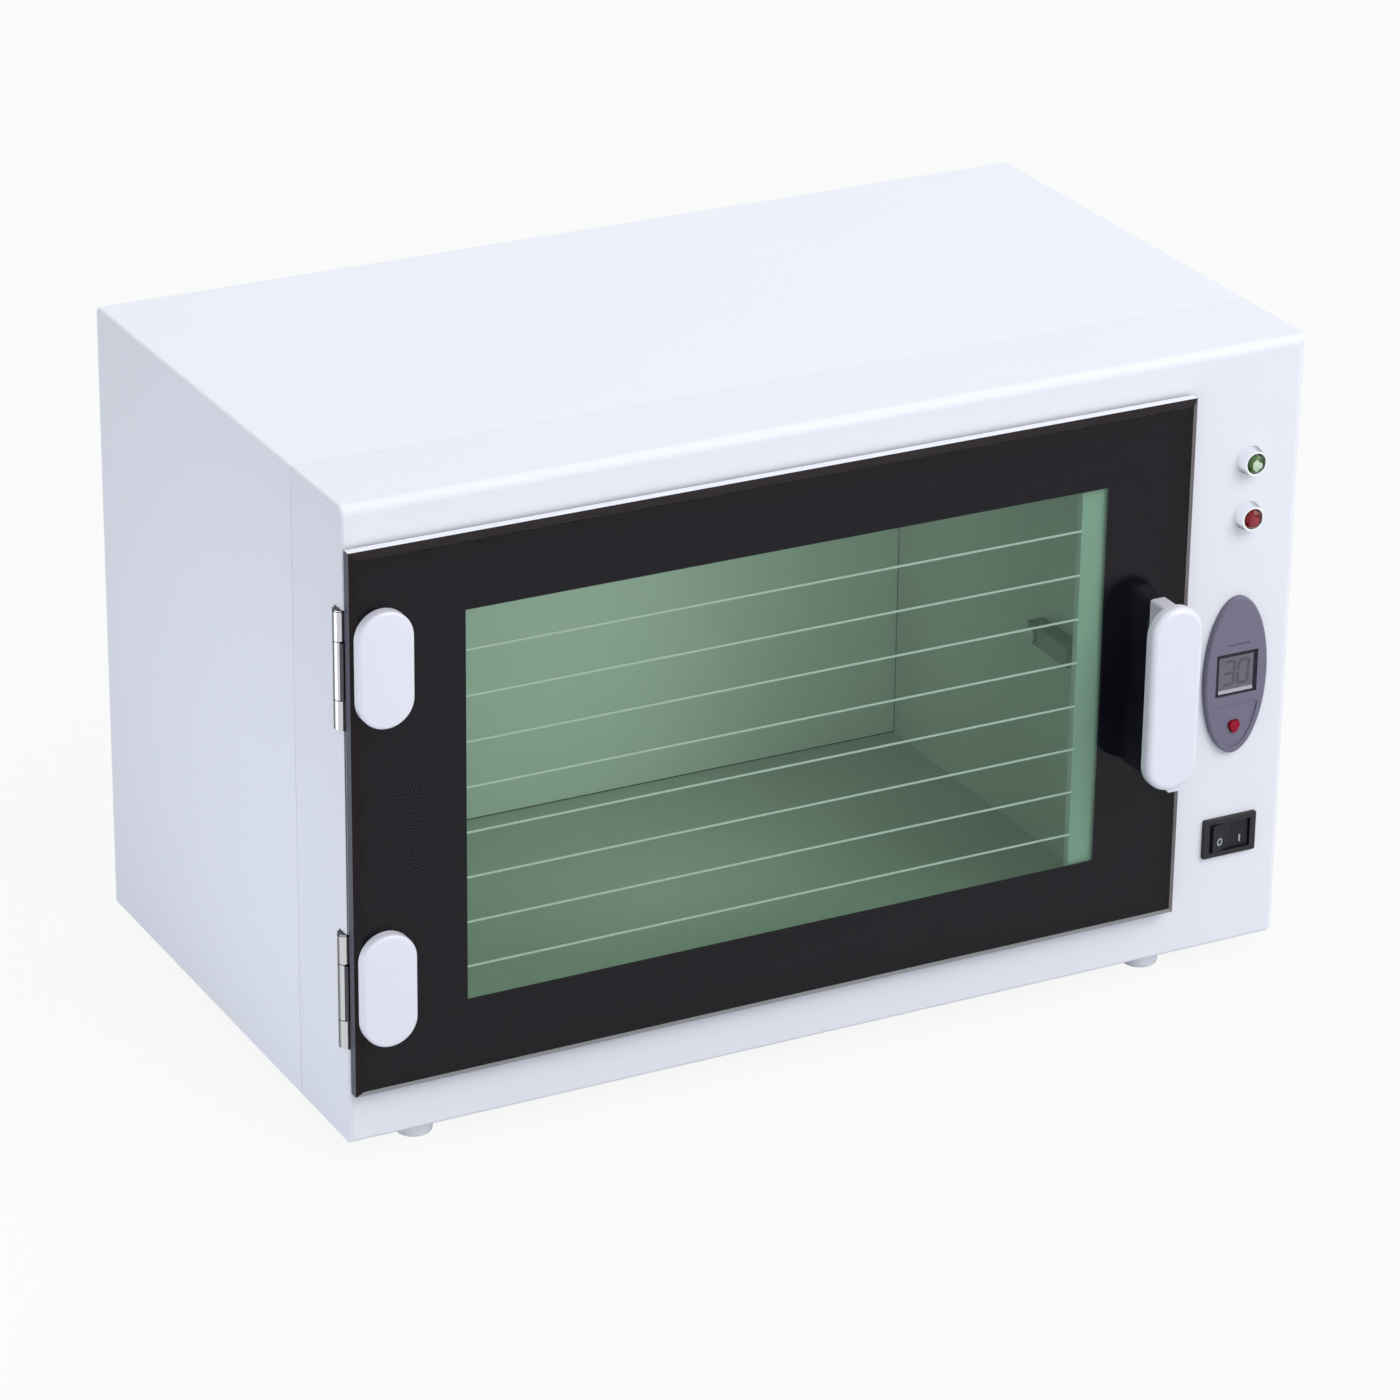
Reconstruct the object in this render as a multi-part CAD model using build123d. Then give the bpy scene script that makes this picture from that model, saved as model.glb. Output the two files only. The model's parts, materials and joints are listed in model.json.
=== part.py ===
from build123d import *
import math
import os

# Bench cabinet with a hinged glass door, an ultraviolet tube in its chamber and a control column at right.
# Working frame: x to the right, y to the back, z up, in mm from the cabinet's left, front and bottom faces.
# At the end the whole model is moved so that its box stands centred on the origin.

# Cabinet
body_width = 372.0
body_depth = 210.0
body_height = 233.0
bezel_depth = 41.0
bezel_wall = 3.0
sheet = 1.5
liner_sheet = 1.0
front_radius = 3.5
edge_radius = 1.5
seam_bevel = 0.5
screw_clearance = 0.1
seat_gap = 0.3
past = 1.0

# Door pane and its print
glass_thickness = 5.0
door_gap = 1.5
glass_side_inset = 0.1
glass_bottom = 20.0
glass_top_margin = 14.0
glass_bevel_width = 2.4
glass_bevel_depth = 1.5
panel_width = 48.0
window_left_border = 42.9
window_right_border = 33.8
window_top_border = 28.5
window_bottom_border = 27.0
print_thickness = 0.2
print_inset = 0.4
stripe_count = 8
stripe_top_gap = 14.4
stripe_bottom_gap = 12.3
stripe_end_gap = 0.7
stripe_height = 0.8

# Chamber and the opening into it
opening_left_lap = 6.0
opening_right_lap = 9.3
opening_top_lap = 6.8
opening_bottom_lap = 4.8
chamber_left_inset = 28.0
bay_width = 69.0
chamber_floor = 27.0
chamber_top_inset = 24.0
chamber_depth = 165.5
liner_flange = 8.0
liner_screw_radius = 1.2
liner_screw_length = 2.4
liner_screw_inset = 30.0
lip_depth = 6.0

# Hinges
hinge_bottom_inset = 37.4
hinge_top_inset = 43.7
hinge_height = 42.0
barrel_radius = 2.5
pin_side_inset = 0.2
pin_radius = 1.2
pin_fit = 0.05
pin_head_radius = 2.2
pin_head_height = 0.5
leaf_screw_length = 4.0
leaf_head_height = 0.9
leaf_thickness = 1.2
leaf_gap = 0.3
leaf_width = 21.9
leaf_side_inset = 0.4
leaf_screw_share = 0.62
knuckle_share = 0.25
knuckle_gap = 0.3
neck_width = 2.4
pocket_clearance = 0.6
cap_width = 20.1
cap_height = 41.5
cap_depth = 4.5
cap_wall = 1.4
cap_left = 0.9
cap_rise = 2.8
cap_round = 1.2
clamp_width = 13.0
clamp_height = 34.0
clamp_thickness = 1.2
clamp_corner = 2.0
clamp_screw_spacing = 22.0
clamp_screw_radius = 1.4
clamp_head_radius = 2.6
clamp_head_height = 1.6
glass_hole_clearance = 0.6

# Handle
handle_height = 70.0
handle_width = 20.8
handle_plate = 5.5
handle_reach = 19.5
handle_right_inset = 5.9
handle_drop = 4.4
web_width = 6.4
web_height = 68.0
web_drop = 2.7
web_corner = 1.0
web_right_inset = 4.2
handle_round = 2.4
handle_back_round = 1.0
handle_screw_radius = 1.6
handle_screw_depth = 9.0
handle_head_radius = 3.4
handle_head_height = 0.8
handle_screw_spacing = 46.0

# Catch and bumpers
strike_width = 9.0
strike_height = 24.0
strike_thickness = 0.8
strike_corner = 1.0
strike_right_inset = 15.5
strike_drop = 4.0
catch_proud = 0.3
catch_length = 12.0
catch_wall = 1.2
catch_magnet_depth = 5.0
bumper_radius = 3.5
bumper_inset = 9.0
bumper_round = 0.5

# Control column
column_inset = 21.5
timer_inset = 23.8
switch_inset = 22.4
indicator_high = 189.5
indicator_pitch = 21.0
collar_base_radius = 5.4
collar_tip_radius = 4.6
collar_reach = 4.2
lens_radius = 3.7
lens_reach = 6.4
lens_round = 1.8
socket_radius = 4.0
socket_length = 16.0
socket_tip_radius = 2.5
socket_tip = 5.0
nut_radius = 6.0
nut_thickness = 2.5
timer_height = 107.7
timer_width = 26.2
timer_length = 60.9
timer_proud = 2.4
timer_round = 1.0
timer_spigot_inset = 1.8
timer_spigot_wall = 1.2
timer_spigot_depth = 6.0
timer_front_wall = 1.5
dish_inset = 2.6
dish_top_drop = 11.0
dish_corner = 1.0
dish_depth = 0.45
groove_width = 9.4
groove_height = 0.7
groove_rise = 12.3
groove_depth = 0.35
display_width = 17.4
display_height = 16.4
display_rise = 0.9
display_border = 1.5
display_depth = 3.2
display_recess = 0.3
button_width = 6.0
button_height = 5.2
button_drop = 20.2
button_proud = 0.9
button_travel = 0.8
button_clearance = 0.25
button_point = 1.3
button_corner = 1.4
button_round = 0.4
button_flange = 0.8
button_flange_grow = 0.8
key_size = 6.0
key_height = 4.0
key_gap = 0.3
button_stem_radius = 1.2
board_width = 30.0
board_height = 52.0
board_thickness = 1.6
board_corner = 1.0
board_setback = 9.0
board_post_radius = 2.4
board_screw_radius = 1.1
board_head_radius = 2.2
board_head_height = 1.1
board_screw_spacing = 44.0
board_screw_spread = 24.0
chip_width = 16.0
chip_height = 9.0
chip_depth = 2.0
module_inset = 1.0
plug_width = 9.0
plug_height = 8.0
plug_depth = 7.0
relay_size = 9.0
plug_drop = 2.0

# Power switch
switch_height = 43.7
switch_face_width = 22.3
switch_face_height = 15.3
switch_body_width = 19.0
switch_body_height = 12.8
switch_face_thickness = 1.5
switch_body_depth = 16.0
switch_round = 0.4
switch_corner = 0.7
rocker_radius = 8.3
rocker_height = 10.6
rocker_gap = 0.3
rocker_valley = 1.5
rocker_facet_angle = 7.0
rocker_tilt = 7.0
rocker_back = 3.0
rocker_pivot_depth = 1.0
rocker_pivot_radius = 0.9
rocker_pivot_reach = 0.8
terminal_width = 4.8
terminal_thickness = 0.8
terminal_length = 8.0
terminal_pitch = 7.0

# Lamp
tube_radius = 7.8
tube_glass_length = 200.0
tube_wall = 0.8
tube_cap_length = 6.5
tube_pin_radius = 1.15
tube_pin_length = 7.0
tube_pin_spacing = 4.75
tube_depth = 92.0
tube_drop = 19.0
holder_width = 22.0
holder_length = 12.0
holder_below_tube = 10.0
holder_round = 4.0
reflector_flat = 30.0
reflector_wing = 16.0
reflector_wing_angle = 35.0
reflector_thickness = 0.8
reflector_end_inset = 1.0

# Electrical bay
ballast_width = 30.0
ballast_height = 24.0
ballast_setback = 60.0
ballast_foot = 12.0
ballast_foot_thickness = 1.5
ballast_round = 2.0
terminal_block_width = 32.0
terminal_block_length = 16.0
terminal_block_height = 14.0
terminal_block_back_inset = 26.0
link_room = 16.0
terminal_ways = 3
terminal_well_clearance = 0.5
terminal_well_depth = 3.0
sensor_length = 28.0
sensor_height = 8.0
sensor_depth = 7.0
sensor_setback = 31.0
sensor_centre_height = 112.0
sensor_round = 0.8
sensor_head_height = 1.2
sensor_screw_reach = 1.0
wire_radius = 1.1
wire_height = 7.0
wire_grip = 3.0

# Cord inlet at the back
gland_bore_radius = 3.5
gland_neck_radius = 6.0
gland_head_radius = 8.5
gland_reach = 9.0
gland_flange = 3.0
gland_inside = 7.0
gland_tail_inset = 1.0
gland_height = 30.0
gland_right_inset = 33.0
gland_nut_radius = 9.5
gland_nut_thickness = 4.0

# Feet and fasteners
foot_height = 8.0
foot_top_radius = 7.5
foot_bottom_radius = 6.5
foot_left_inset = 30.0
foot_right_inset = 49.0
foot_front_setback = 14.0
foot_back_inset = 20.0
foot_recess_radius = 3.4
foot_recess_depth = 5.0
foot_rim_radius = 1.0
screw_radius = 1.5
screw_head_radius = 2.8
screw_head_height = 1.8
screw_length = 6.0
slot_length = 3.6
slot_width = 0.7
slot_depth = 1.2
base_flange = 12.0
base_screw_spread = 100.0
base_screw_setback = 30.0
base_tongue_front = 18.0
base_clearance = 1.0
rear_flange = 10.0
rear_screw_inset = 7.0
vent_count = 9
vent_pitch = 7.0
vent_width = 3.0
vent_length = 44.0
vent_height = 130.0
vent_right_inset = 24.0

# Places worked out from the sizes above
glass_left = glass_side_inset
glass_right = body_width - panel_width
glass_top = body_height - glass_top_margin
glass_back = -door_gap
glass_front = glass_back - glass_thickness
print_back = glass_back + print_thickness
window_left = glass_left + window_left_border
window_right = glass_right - window_right_border
window_top = glass_top - window_top_border
window_bottom = glass_bottom + window_bottom_border
stripe_pitch = (window_top - stripe_top_gap - window_bottom - stripe_bottom_gap) / (stripe_count - 1)
opening_left = window_left - opening_left_lap
opening_right = window_right - opening_right_lap
opening_top = window_top + opening_top_lap
opening_bottom = window_bottom - opening_bottom_lap
chamber_left = chamber_left_inset
chamber_right = body_width - bay_width
chamber_top = body_height - chamber_top_inset
chamber_back = chamber_depth
pin_to_print = barrel_radius + leaf_gap + leaf_thickness
pin_x = pin_side_inset
pin_y = print_back + pin_to_print
pocket_depth = pin_y + pin_to_print
hinge_heights = (glass_bottom + hinge_bottom_inset, glass_top - hinge_top_inset)
cap_centre_x = cap_left + cap_width / 2
cap_heights = tuple(height + cap_rise for height in hinge_heights)
leaf_left = glass_left + leaf_side_inset
handle_right = glass_right - handle_right_inset
handle_centre_x = handle_right - handle_width / 2
glass_middle_height = (glass_bottom + glass_top) / 2
handle_centre_height = glass_middle_height - handle_drop
strike_centre_height = glass_middle_height - strike_drop
web_right = handle_right - web_right_inset
web_centre_x = web_right - web_width / 2
web_centre_height = handle_centre_height - web_drop
handle_front = glass_front - handle_reach
strike_centre_x = glass_right - strike_right_inset
strike_back = print_back + strike_thickness
column_x = body_width - column_inset
timer_x = body_width - timer_inset
switch_x = body_width - switch_inset
indicator_heights = (indicator_high, indicator_high - indicator_pitch)
board_front = bezel_wall + board_setback
button_height_centre = timer_height - button_drop
display_centre_height = timer_height + display_rise
rocker_pivot_y = rocker_pivot_depth
tube_centre_x = (chamber_left + chamber_right) / 2
tube_centre_z = chamber_top - tube_drop
tube_left = tube_centre_x - tube_glass_length / 2 - tube_cap_length
tube_right = tube_centre_x + tube_glass_length / 2 + tube_cap_length
sensor_screw_depth = sensor_setback + sensor_length - sensor_height / 2
gland_x = body_width - gland_right_inset
bay_left = chamber_right + liner_sheet
terminal_block_setback = body_depth - terminal_block_back_inset - terminal_block_length
ballast_length = terminal_block_setback - link_room - ballast_setback
foot_places = [
    (x, y)
    for x in (foot_left_inset, body_width - foot_right_inset)
    for y in (foot_front_setback, body_depth - foot_back_inset)
]


def block(x_low, x_high, y_low, y_high, z_low, z_high):
    """Box between two corners."""
    size = Box(x_high - x_low, y_high - y_low, z_high - z_low)
    return Pos((x_low + x_high) / 2, (y_low + y_high) / 2, (z_low + z_high) / 2) * size


def rod_x(y, z, radius, x_low, x_high):
    """Round bar along x."""
    return Pos((x_low + x_high) / 2, y, z) * Rot(0, 90, 0) * Cylinder(radius, x_high - x_low)


def rod_y(x, z, radius, y_low, y_high):
    """Round bar along y."""
    return Pos(x, (y_low + y_high) / 2, z) * Rot(90, 0, 0) * Cylinder(radius, y_high - y_low)


def rod_z(x, y, radius, z_low, z_high):
    """Upright round bar."""
    return Pos(x, y, (z_low + z_high) / 2) * Cylinder(radius, z_high - z_low)


def slab(outline, x, z, y_low, y_high):
    """Outline drawn in the front plane, centred on x and z, made solid between two depths."""
    face = Plane.XZ.offset(-y_high) * Pos(x, z) * outline
    return extrude(face, amount=y_high - y_low)


def cone_y(x, z, radius_front, radius_back, y_front, y_back):
    """Round taper along y."""
    taper = Cone(radius_back, radius_front, y_back - y_front)
    return Pos(x, (y_front + y_back) / 2, z) * Rot(90, 0, 0) * taper


def stadium(width, height):
    """Upright slot outline with round ends."""
    return Rot(0, 0, 90) * SlotOverall(height, width)


def screw_y(x, z, y_seat, length, head_forward, shaft_radius=screw_radius):
    """Pan head screw along y whose head sits on y_seat, on the front side when head_forward is true."""
    side = -1 if head_forward else 1
    head_end = y_seat + side * screw_head_height
    tip = y_seat - side * length
    shaft = rod_y(x, z, shaft_radius, min(y_seat, tip), max(y_seat, tip))
    head = rod_y(x, z, screw_head_radius, min(y_seat, head_end), max(y_seat, head_end))
    return crossed_head(head, Pos(x, head_end, z) * Rot(90, 0, 0)) + shaft


def crossed_head(head, place):
    """Head with a cross slot cut at its outer face."""
    slot = Box(slot_length, slot_width, slot_depth) + Box(slot_width, slot_length, slot_depth)
    return head - place * slot


def group(solids):
    """Several separate solids kept as one node."""
    return Compound(children=list(solids))


# Front frame
def front_edges(body):
    """Top, bottom, left and right edges of a body's front face."""
    front = body.faces().sort_by(Axis.Y)[0]
    level = front.edges().filter_by(Axis.X).sort_by(Axis.Z)
    upright = front.edges().filter_by(Axis.Z).sort_by(Axis.X)
    return level[-1], level[0], upright[0], upright[-1]


def make_front_bezel():
    body = block(0, body_width, 0, bezel_depth, 0, body_height)
    top_edge, bottom_edge, left_edge, right_edge = front_edges(body)
    body = fillet([top_edge, right_edge], front_radius)
    top_edge, bottom_edge, left_edge, right_edge = front_edges(body)
    body = fillet([left_edge, bottom_edge], edge_radius)
    body = chamfer(body.faces().sort_by(Axis.Y)[-1].edges(), seam_bevel)
    body -= block(
        bezel_wall, body_width - bezel_wall, bezel_wall, bezel_depth + past,
        bezel_wall, body_height - bezel_wall,
    )
    body -= block(opening_left, opening_right, -past, bezel_wall + past, opening_bottom, opening_top)
    for height in hinge_heights:
        low = height - hinge_height / 2 - pocket_clearance
        high = height + hinge_height / 2 + pocket_clearance
        right = pin_x + leaf_width + pocket_clearance
        # A box behind the frame's wall carries the pocket's floor
        floor_back = pocket_depth + bezel_wall
        body += block(0, right + bezel_wall, bezel_wall, floor_back, low - bezel_wall, high + bezel_wall)
        body -= block(-past, right, -past, pocket_depth, low, high)
    for x, z in board_screw_places():
        body += rod_y(x, z, board_post_radius, bezel_wall / 2, board_front)
    for height in indicator_heights:
        body -= rod_y(column_x, height, socket_radius + screw_clearance, -past, bezel_wall + past)
    spigot_hole = timer_outline(timer_spigot_inset - screw_clearance)
    body -= slab(spigot_hole, timer_x, timer_height, -past, bezel_wall + past)
    body -= slab(
        Rectangle(switch_body_width + 2 * screw_clearance, switch_body_height + 2 * screw_clearance),
        switch_x, switch_height, -past, bezel_wall + past,
    )
    body -= catch_space(screw_clearance)
    for height in hinge_heights:
        for z in leaf_screw_heights(height):
            hole_back = pocket_depth + bezel_wall + past
            body -= rod_y(leaf_screw_x(), z, screw_radius, pocket_depth - past, hole_back)
    for x, z in board_screw_places():
        hole = board_screw_radius + screw_clearance
        body -= rod_y(x, z, hole, board_front - screw_length, board_front + past)
    for x, z in liner_screw_places():
        hole = liner_screw_radius + screw_clearance
        body -= rod_y(x, z, hole, bezel_wall - liner_screw_length, bezel_wall + past)
    for x, y in front_feet():
        body -= rod_z(x, y, screw_radius + screw_clearance, -past, bezel_wall + past)
    for x in base_screw_places():
        body -= rod_z(x, base_screw_setback, screw_radius + screw_clearance, -past, bezel_wall + past)
    return body + frame_lip()


def frame_lip():
    """Lip at the back of the frame that slides inside the wrap."""
    lip_end = bezel_depth + lip_depth
    high = body_height - sheet
    outer = block(sheet, body_width - sheet, bezel_depth - bezel_wall, lip_end, bezel_wall, high)
    inner_right = body_width - bezel_wall
    inner_top = body_height - bezel_wall
    return outer - block(bezel_wall, inner_right, 0, lip_end + past, 0, inner_top)


def front_feet():
    """Feet that stand under the front frame."""
    return [place for place in foot_places if place[1] < bezel_depth]


def rear_feet():
    """Feet that stand under the bottom tray."""
    return [place for place in foot_places if place[1] >= bezel_depth]


def leaf_screw_x():
    """Across place of the screws that hold a hinge's fixed leaf."""
    return pin_x + leaf_width * leaf_screw_share


def leaf_screw_heights(height):
    """Heights of the two screws of one fixed leaf."""
    return (height - clamp_screw_spacing / 2, height + clamp_screw_spacing / 2)


def board_screw_places():
    """Across and up places of the timer board's four screws."""
    xs = (timer_x - board_screw_spread / 2, timer_x + board_screw_spread / 2)
    zs = (timer_height - board_screw_spacing / 2, timer_height + board_screw_spacing / 2)
    return [(x, z) for x in xs for z in zs]


def liner_screw_places():
    """Across and up places of the screws that hold the lining to the frame's wall."""
    middle = (chamber_left + chamber_right) / 2
    xs = (chamber_left + liner_screw_inset, middle, chamber_right - liner_screw_inset)
    zs = (chamber_floor - liner_flange / 2, chamber_top + liner_flange / 2)
    return [(x, z) for x in xs for z in zs]


def timer_outline(inset):
    """Oval of the timer's surround, drawn in by an inset."""
    return Rot(0, 0, 90) * Ellipse(timer_length / 2 - inset, timer_width / 2 - inset)


def base_screw_places():
    """Across places of the screws that join the bottom tray to the front frame."""
    middle = body_width / 2
    return (middle - base_screw_spread, middle, middle + base_screw_spread)


def catch_space(clearance):
    """Room of the magnetic catch in the frame's wall."""
    outline = Rectangle(strike_width + 2 * clearance, strike_height + 2 * clearance)
    return slab(outline, strike_centre_x, strike_centre_height, -past, bezel_wall + past)


# Sheets of the cabinet
def make_body_cover():
    outer = block(0, body_width, bezel_depth, body_depth, 0, body_height)
    top_left_edge = outer.edges().filter_by(Axis.Y).group_by(Axis.Z)[-1].sort_by(Axis.X)[0]
    outer = fillet(top_left_edge, edge_radius)
    left = sheet
    right = body_width - sheet
    top = body_height - sheet
    flange_front = body_depth - 2 * sheet
    inside = block(left, right, bezel_depth - past, flange_front, -past, top)
    room_left = left + rear_flange
    room_right = right - rear_flange
    window = block(room_left, room_right, flange_front - past, body_depth + past, -past, top - rear_flange)
    seat = block(left, right, body_depth - sheet, body_depth + past, -past, top)
    room_top = sheet + base_flange + seat_gap
    floor_room = block(left, right, bezel_depth - past, body_depth + past, -past, room_top)
    cover = outer - inside - window - seat - floor_room
    for x, z in cover_screw_places():
        cover -= rod_y(x, z, screw_radius + screw_clearance, flange_front - past, body_depth + past)
    return cover


def cover_screw_places():
    """Across and up places of the screws through the rear panel into the wrap's flanges."""
    left = sheet + rear_screw_inset
    right = body_width - left
    top = body_height - sheet - rear_screw_inset
    side_low = sheet + base_flange + rear_flange
    side_mid = (side_low + top) / 2
    return [(left, side_low), (left, side_mid), (left, top), (body_width / 2, top),
            (right, top), (right, side_mid), (right, side_low)]


def pan_screw_places():
    """Across and up places of the screws through the rear panel into the tray's flange."""
    height = sheet + base_flange / 2
    middle = body_width / 2
    return [(middle - base_screw_spread, height), (middle + base_screw_spread, height)]


def make_base_pan():
    left = sheet
    right = body_width - sheet
    pan = block(left, right, bezel_depth, body_depth, 0, sheet)
    flange_top = sheet + base_flange
    flange_front = bezel_depth + lip_depth + base_clearance
    flange_back = body_depth - 2 * sheet
    pan += block(left, left + sheet, flange_front, flange_back, 0, flange_top)
    pan += block(right - sheet, right, flange_front, flange_back, 0, flange_top)
    pan += block(left, right, flange_back, body_depth - sheet, 0, flange_top)
    tongue_left = bezel_wall + base_clearance
    tongue_right = body_width - bezel_wall - base_clearance
    tongue_top = bezel_wall + sheet
    pan += block(tongue_left, tongue_right, base_tongue_front, bezel_depth + sheet, bezel_wall, tongue_top)
    pan += block(tongue_left, tongue_right, bezel_depth, bezel_depth + sheet, 0, bezel_wall + sheet)
    for x in base_screw_places():
        pan -= rod_z(x, base_screw_setback, screw_radius + screw_clearance, -past, bezel_wall + sheet + past)
    for x, y in rear_feet():
        pan -= rod_z(x, y, screw_radius + screw_clearance, -past, sheet + past)
    for x, y in front_feet():
        pan -= rod_z(x, y, screw_head_radius + base_clearance, bezel_wall, tongue_top + past)
    for y in ballast_screw_depths():
        pan -= rod_z(bay_centre(), y, screw_radius + screw_clearance, -past, sheet + past)
    for x, z in pan_screw_places():
        pan -= rod_y(x, z, screw_radius + screw_clearance, body_depth - 2 * sheet - past, body_depth + past)
    return pan


def make_rear_panel():
    left = sheet
    right = body_width - sheet
    panel = block(left, right, body_depth - sheet, body_depth, sheet, body_height - sheet)
    for x, z in cover_screw_places() + pan_screw_places():
        panel -= rod_y(x, z, screw_radius + screw_clearance, body_depth - sheet - past, body_depth + past)
    slot = stadium(vent_width, vent_length)
    for index in range(vent_count):
        across = body_width - vent_right_inset - index * vent_pitch
        panel -= slab(slot, across, vent_height, body_depth - sheet - past, body_depth + past)
    hole = gland_neck_radius + screw_clearance
    panel -= rod_y(gland_x, gland_height, hole, body_depth - sheet - past, body_depth + past)
    return panel


def make_chamber_liner():
    skin = liner_sheet
    shell = block(
        chamber_left - skin, chamber_right + skin, bezel_wall, chamber_back + skin,
        chamber_floor - skin, chamber_top + skin,
    )
    shell -= block(chamber_left, chamber_right, bezel_wall - past, chamber_back, chamber_floor, chamber_top)
    low = chamber_floor - skin
    high = chamber_top + skin
    shell += block(chamber_left, chamber_right, bezel_wall, bezel_wall + skin, low - liner_flange, low)
    shell += block(chamber_left, chamber_right, bezel_wall, bezel_wall + skin, high, high + liner_flange)
    for x, z in liner_screw_places():
        hole = liner_screw_radius + screw_clearance
        shell -= rod_y(x, z, hole, bezel_wall - past, bezel_wall + skin + past)
    hole = screw_radius + screw_clearance
    for side in (-1, 1):
        shell -= rod_z(holder_centre(side), tube_depth, hole, chamber_top - past, high + past)
    shell -= rod_x(sensor_screw_depth, sensor_centre_height, liner_screw_radius + screw_clearance,
                   chamber_right - past, chamber_right + skin + past)
    return shell


def make_liner_screws():
    seat = bezel_wall + liner_sheet
    return group(
        screw_y(x, z, seat, liner_screw_length + liner_sheet - screw_clearance, False, liner_screw_radius)
        for x, z in liner_screw_places()
    )


def make_rear_screws():
    return group(
        screw_y(x, z, body_depth, screw_length, False)
        for x, z in cover_screw_places() + pan_screw_places()
    )


def make_base_screws():
    screws = []
    for x in base_screw_places():
        shaft = rod_z(x, base_screw_setback, screw_radius, 0, screw_length)
        head = rod_z(x, base_screw_setback, screw_head_radius, -screw_head_height, 0)
        screws.append(crossed_head(head, Pos(x, base_screw_setback, -screw_head_height)) + shaft)
    return group(screws)


def make_feet():
    feet = []
    for x, y in foot_places:
        rubber = Pos(x, y, -foot_height / 2) * Cone(foot_bottom_radius, foot_top_radius, foot_height)
        rim = rubber.edges().group_by(Axis.Z)[0]
        rubber = fillet(rim, foot_rim_radius)
        rubber -= rod_z(x, y, foot_recess_radius, -foot_height - past, foot_recess_depth - foot_height)
        rubber -= rod_z(x, y, screw_radius + screw_clearance, -foot_height, 1)
        feet.append(rubber)
    return group(feet)


def make_foot_screws():
    screws = []
    seat = foot_recess_depth - foot_height
    for x, y in foot_places:
        shaft = rod_z(x, y, screw_radius, seat, screw_length)
        head = rod_z(x, y, screw_head_radius, seat - screw_head_height, seat)
        screws.append(crossed_head(head, Pos(x, y, seat - screw_head_height)) + shaft)
    return group(screws)


# Door pane and what is fixed to it
def make_door_glass():
    middle_x = (glass_left + glass_right) / 2
    middle_z = (glass_bottom + glass_top) / 2
    width = glass_right - glass_left
    height = glass_top - glass_bottom
    pane = slab(Rectangle(width, height), middle_x, middle_z, glass_front, glass_back)
    front = pane.faces().sort_by(Axis.Y)[0]
    pane = chamfer(front.edges(), glass_bevel_width, glass_bevel_depth, reference=front)
    hole = clamp_screw_radius + glass_hole_clearance
    for x, z in clamp_screw_places():
        pane -= rod_y(x, z, hole, glass_front - past, glass_back + past)
    hole = handle_screw_radius + glass_hole_clearance
    for z in handle_screw_heights():
        pane -= rod_y(web_centre_x, z, hole, glass_front - past, glass_back + past)
    return pane


def clamp_screw_places():
    """Across and up places of the screws that clamp the pane to its hinge leaves."""
    return [
        (cap_centre_x, height + side * clamp_screw_spacing / 2)
        for height in cap_heights
        for side in (-1, 1)
    ]


def handle_screw_heights():
    """Heights of the two screws of the handle."""
    return (web_centre_height - handle_screw_spacing / 2, web_centre_height + handle_screw_spacing / 2)


def make_door_border():
    middle_x = (glass_left + glass_right) / 2
    middle_z = (glass_bottom + glass_top) / 2
    width = glass_right - glass_left - 2 * print_inset
    height = glass_top - glass_bottom - 2 * print_inset
    film = slab(Rectangle(width, height), middle_x, middle_z, glass_back, print_back)
    film -= block(window_left, window_right, glass_back - past, print_back + past, window_bottom, window_top)
    hole = clamp_screw_radius + glass_hole_clearance
    for x, z in clamp_screw_places():
        film -= rod_y(x, z, hole, glass_back - past, print_back + past)
    hole = handle_screw_radius + glass_hole_clearance
    for z in handle_screw_heights():
        film -= rod_y(web_centre_x, z, hole, glass_back - past, print_back + past)
    return film


def make_window_stripes():
    stripes = []
    stripe_right = opening_right - stripe_end_gap
    for index in range(stripe_count):
        height = window_top - stripe_top_gap - index * stripe_pitch
        low = height - stripe_height / 2
        stripes.append(block(window_left, stripe_right, glass_back, print_back, low, low + stripe_height))
    return group(stripes)


def make_door_handle():
    plate = slab(
        stadium(handle_width, handle_height), handle_centre_x, handle_centre_height,
        handle_front, handle_front + handle_plate,
    )
    plate = fillet(plate.faces().sort_by(Axis.Y)[0].edges(), handle_round)
    plate = fillet(plate.faces().sort_by(Axis.Y)[-1].edges(), handle_back_round)
    web = slab(
        RectangleRounded(web_width, web_height, web_corner), web_centre_x, web_centre_height,
        handle_front + handle_plate / 2, glass_front,
    )
    handle = plate + web
    for z in handle_screw_heights():
        hole = handle_screw_radius + screw_clearance
        handle -= rod_y(web_centre_x, z, hole, glass_front - handle_screw_depth, glass_front + past)
    return handle


def make_handle_screws():
    screws = []
    for z in handle_screw_heights():
        tip = glass_front - handle_screw_depth + seat_gap
        shaft = rod_y(web_centre_x, z, handle_screw_radius, tip, print_back)
        head = rod_y(web_centre_x, z, handle_head_radius, print_back, print_back + handle_head_height)
        screws.append(shaft + head)
    return group(screws)


def make_strike_plate():
    outline = RectangleRounded(strike_width, strike_height, strike_corner)
    return slab(outline, strike_centre_x, strike_centre_height, print_back, strike_back)


# Hinges
def knuckle_heights(height):
    """Lower and upper ends of the moving knuckle of one hinge."""
    half = hinge_height / 2 - hinge_height * knuckle_share
    return (height - half, height + half)


def ring(low, high):
    """One knuckle round the pin, bored later."""
    return rod_z(pin_x, pin_y, barrel_radius, low, high)


def pin_hole(height):
    """Bore through all knuckles of one hinge."""
    half = hinge_height / 2 + past
    return rod_z(pin_x, pin_y, pin_radius + pin_fit, height - half, height + half)


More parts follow.
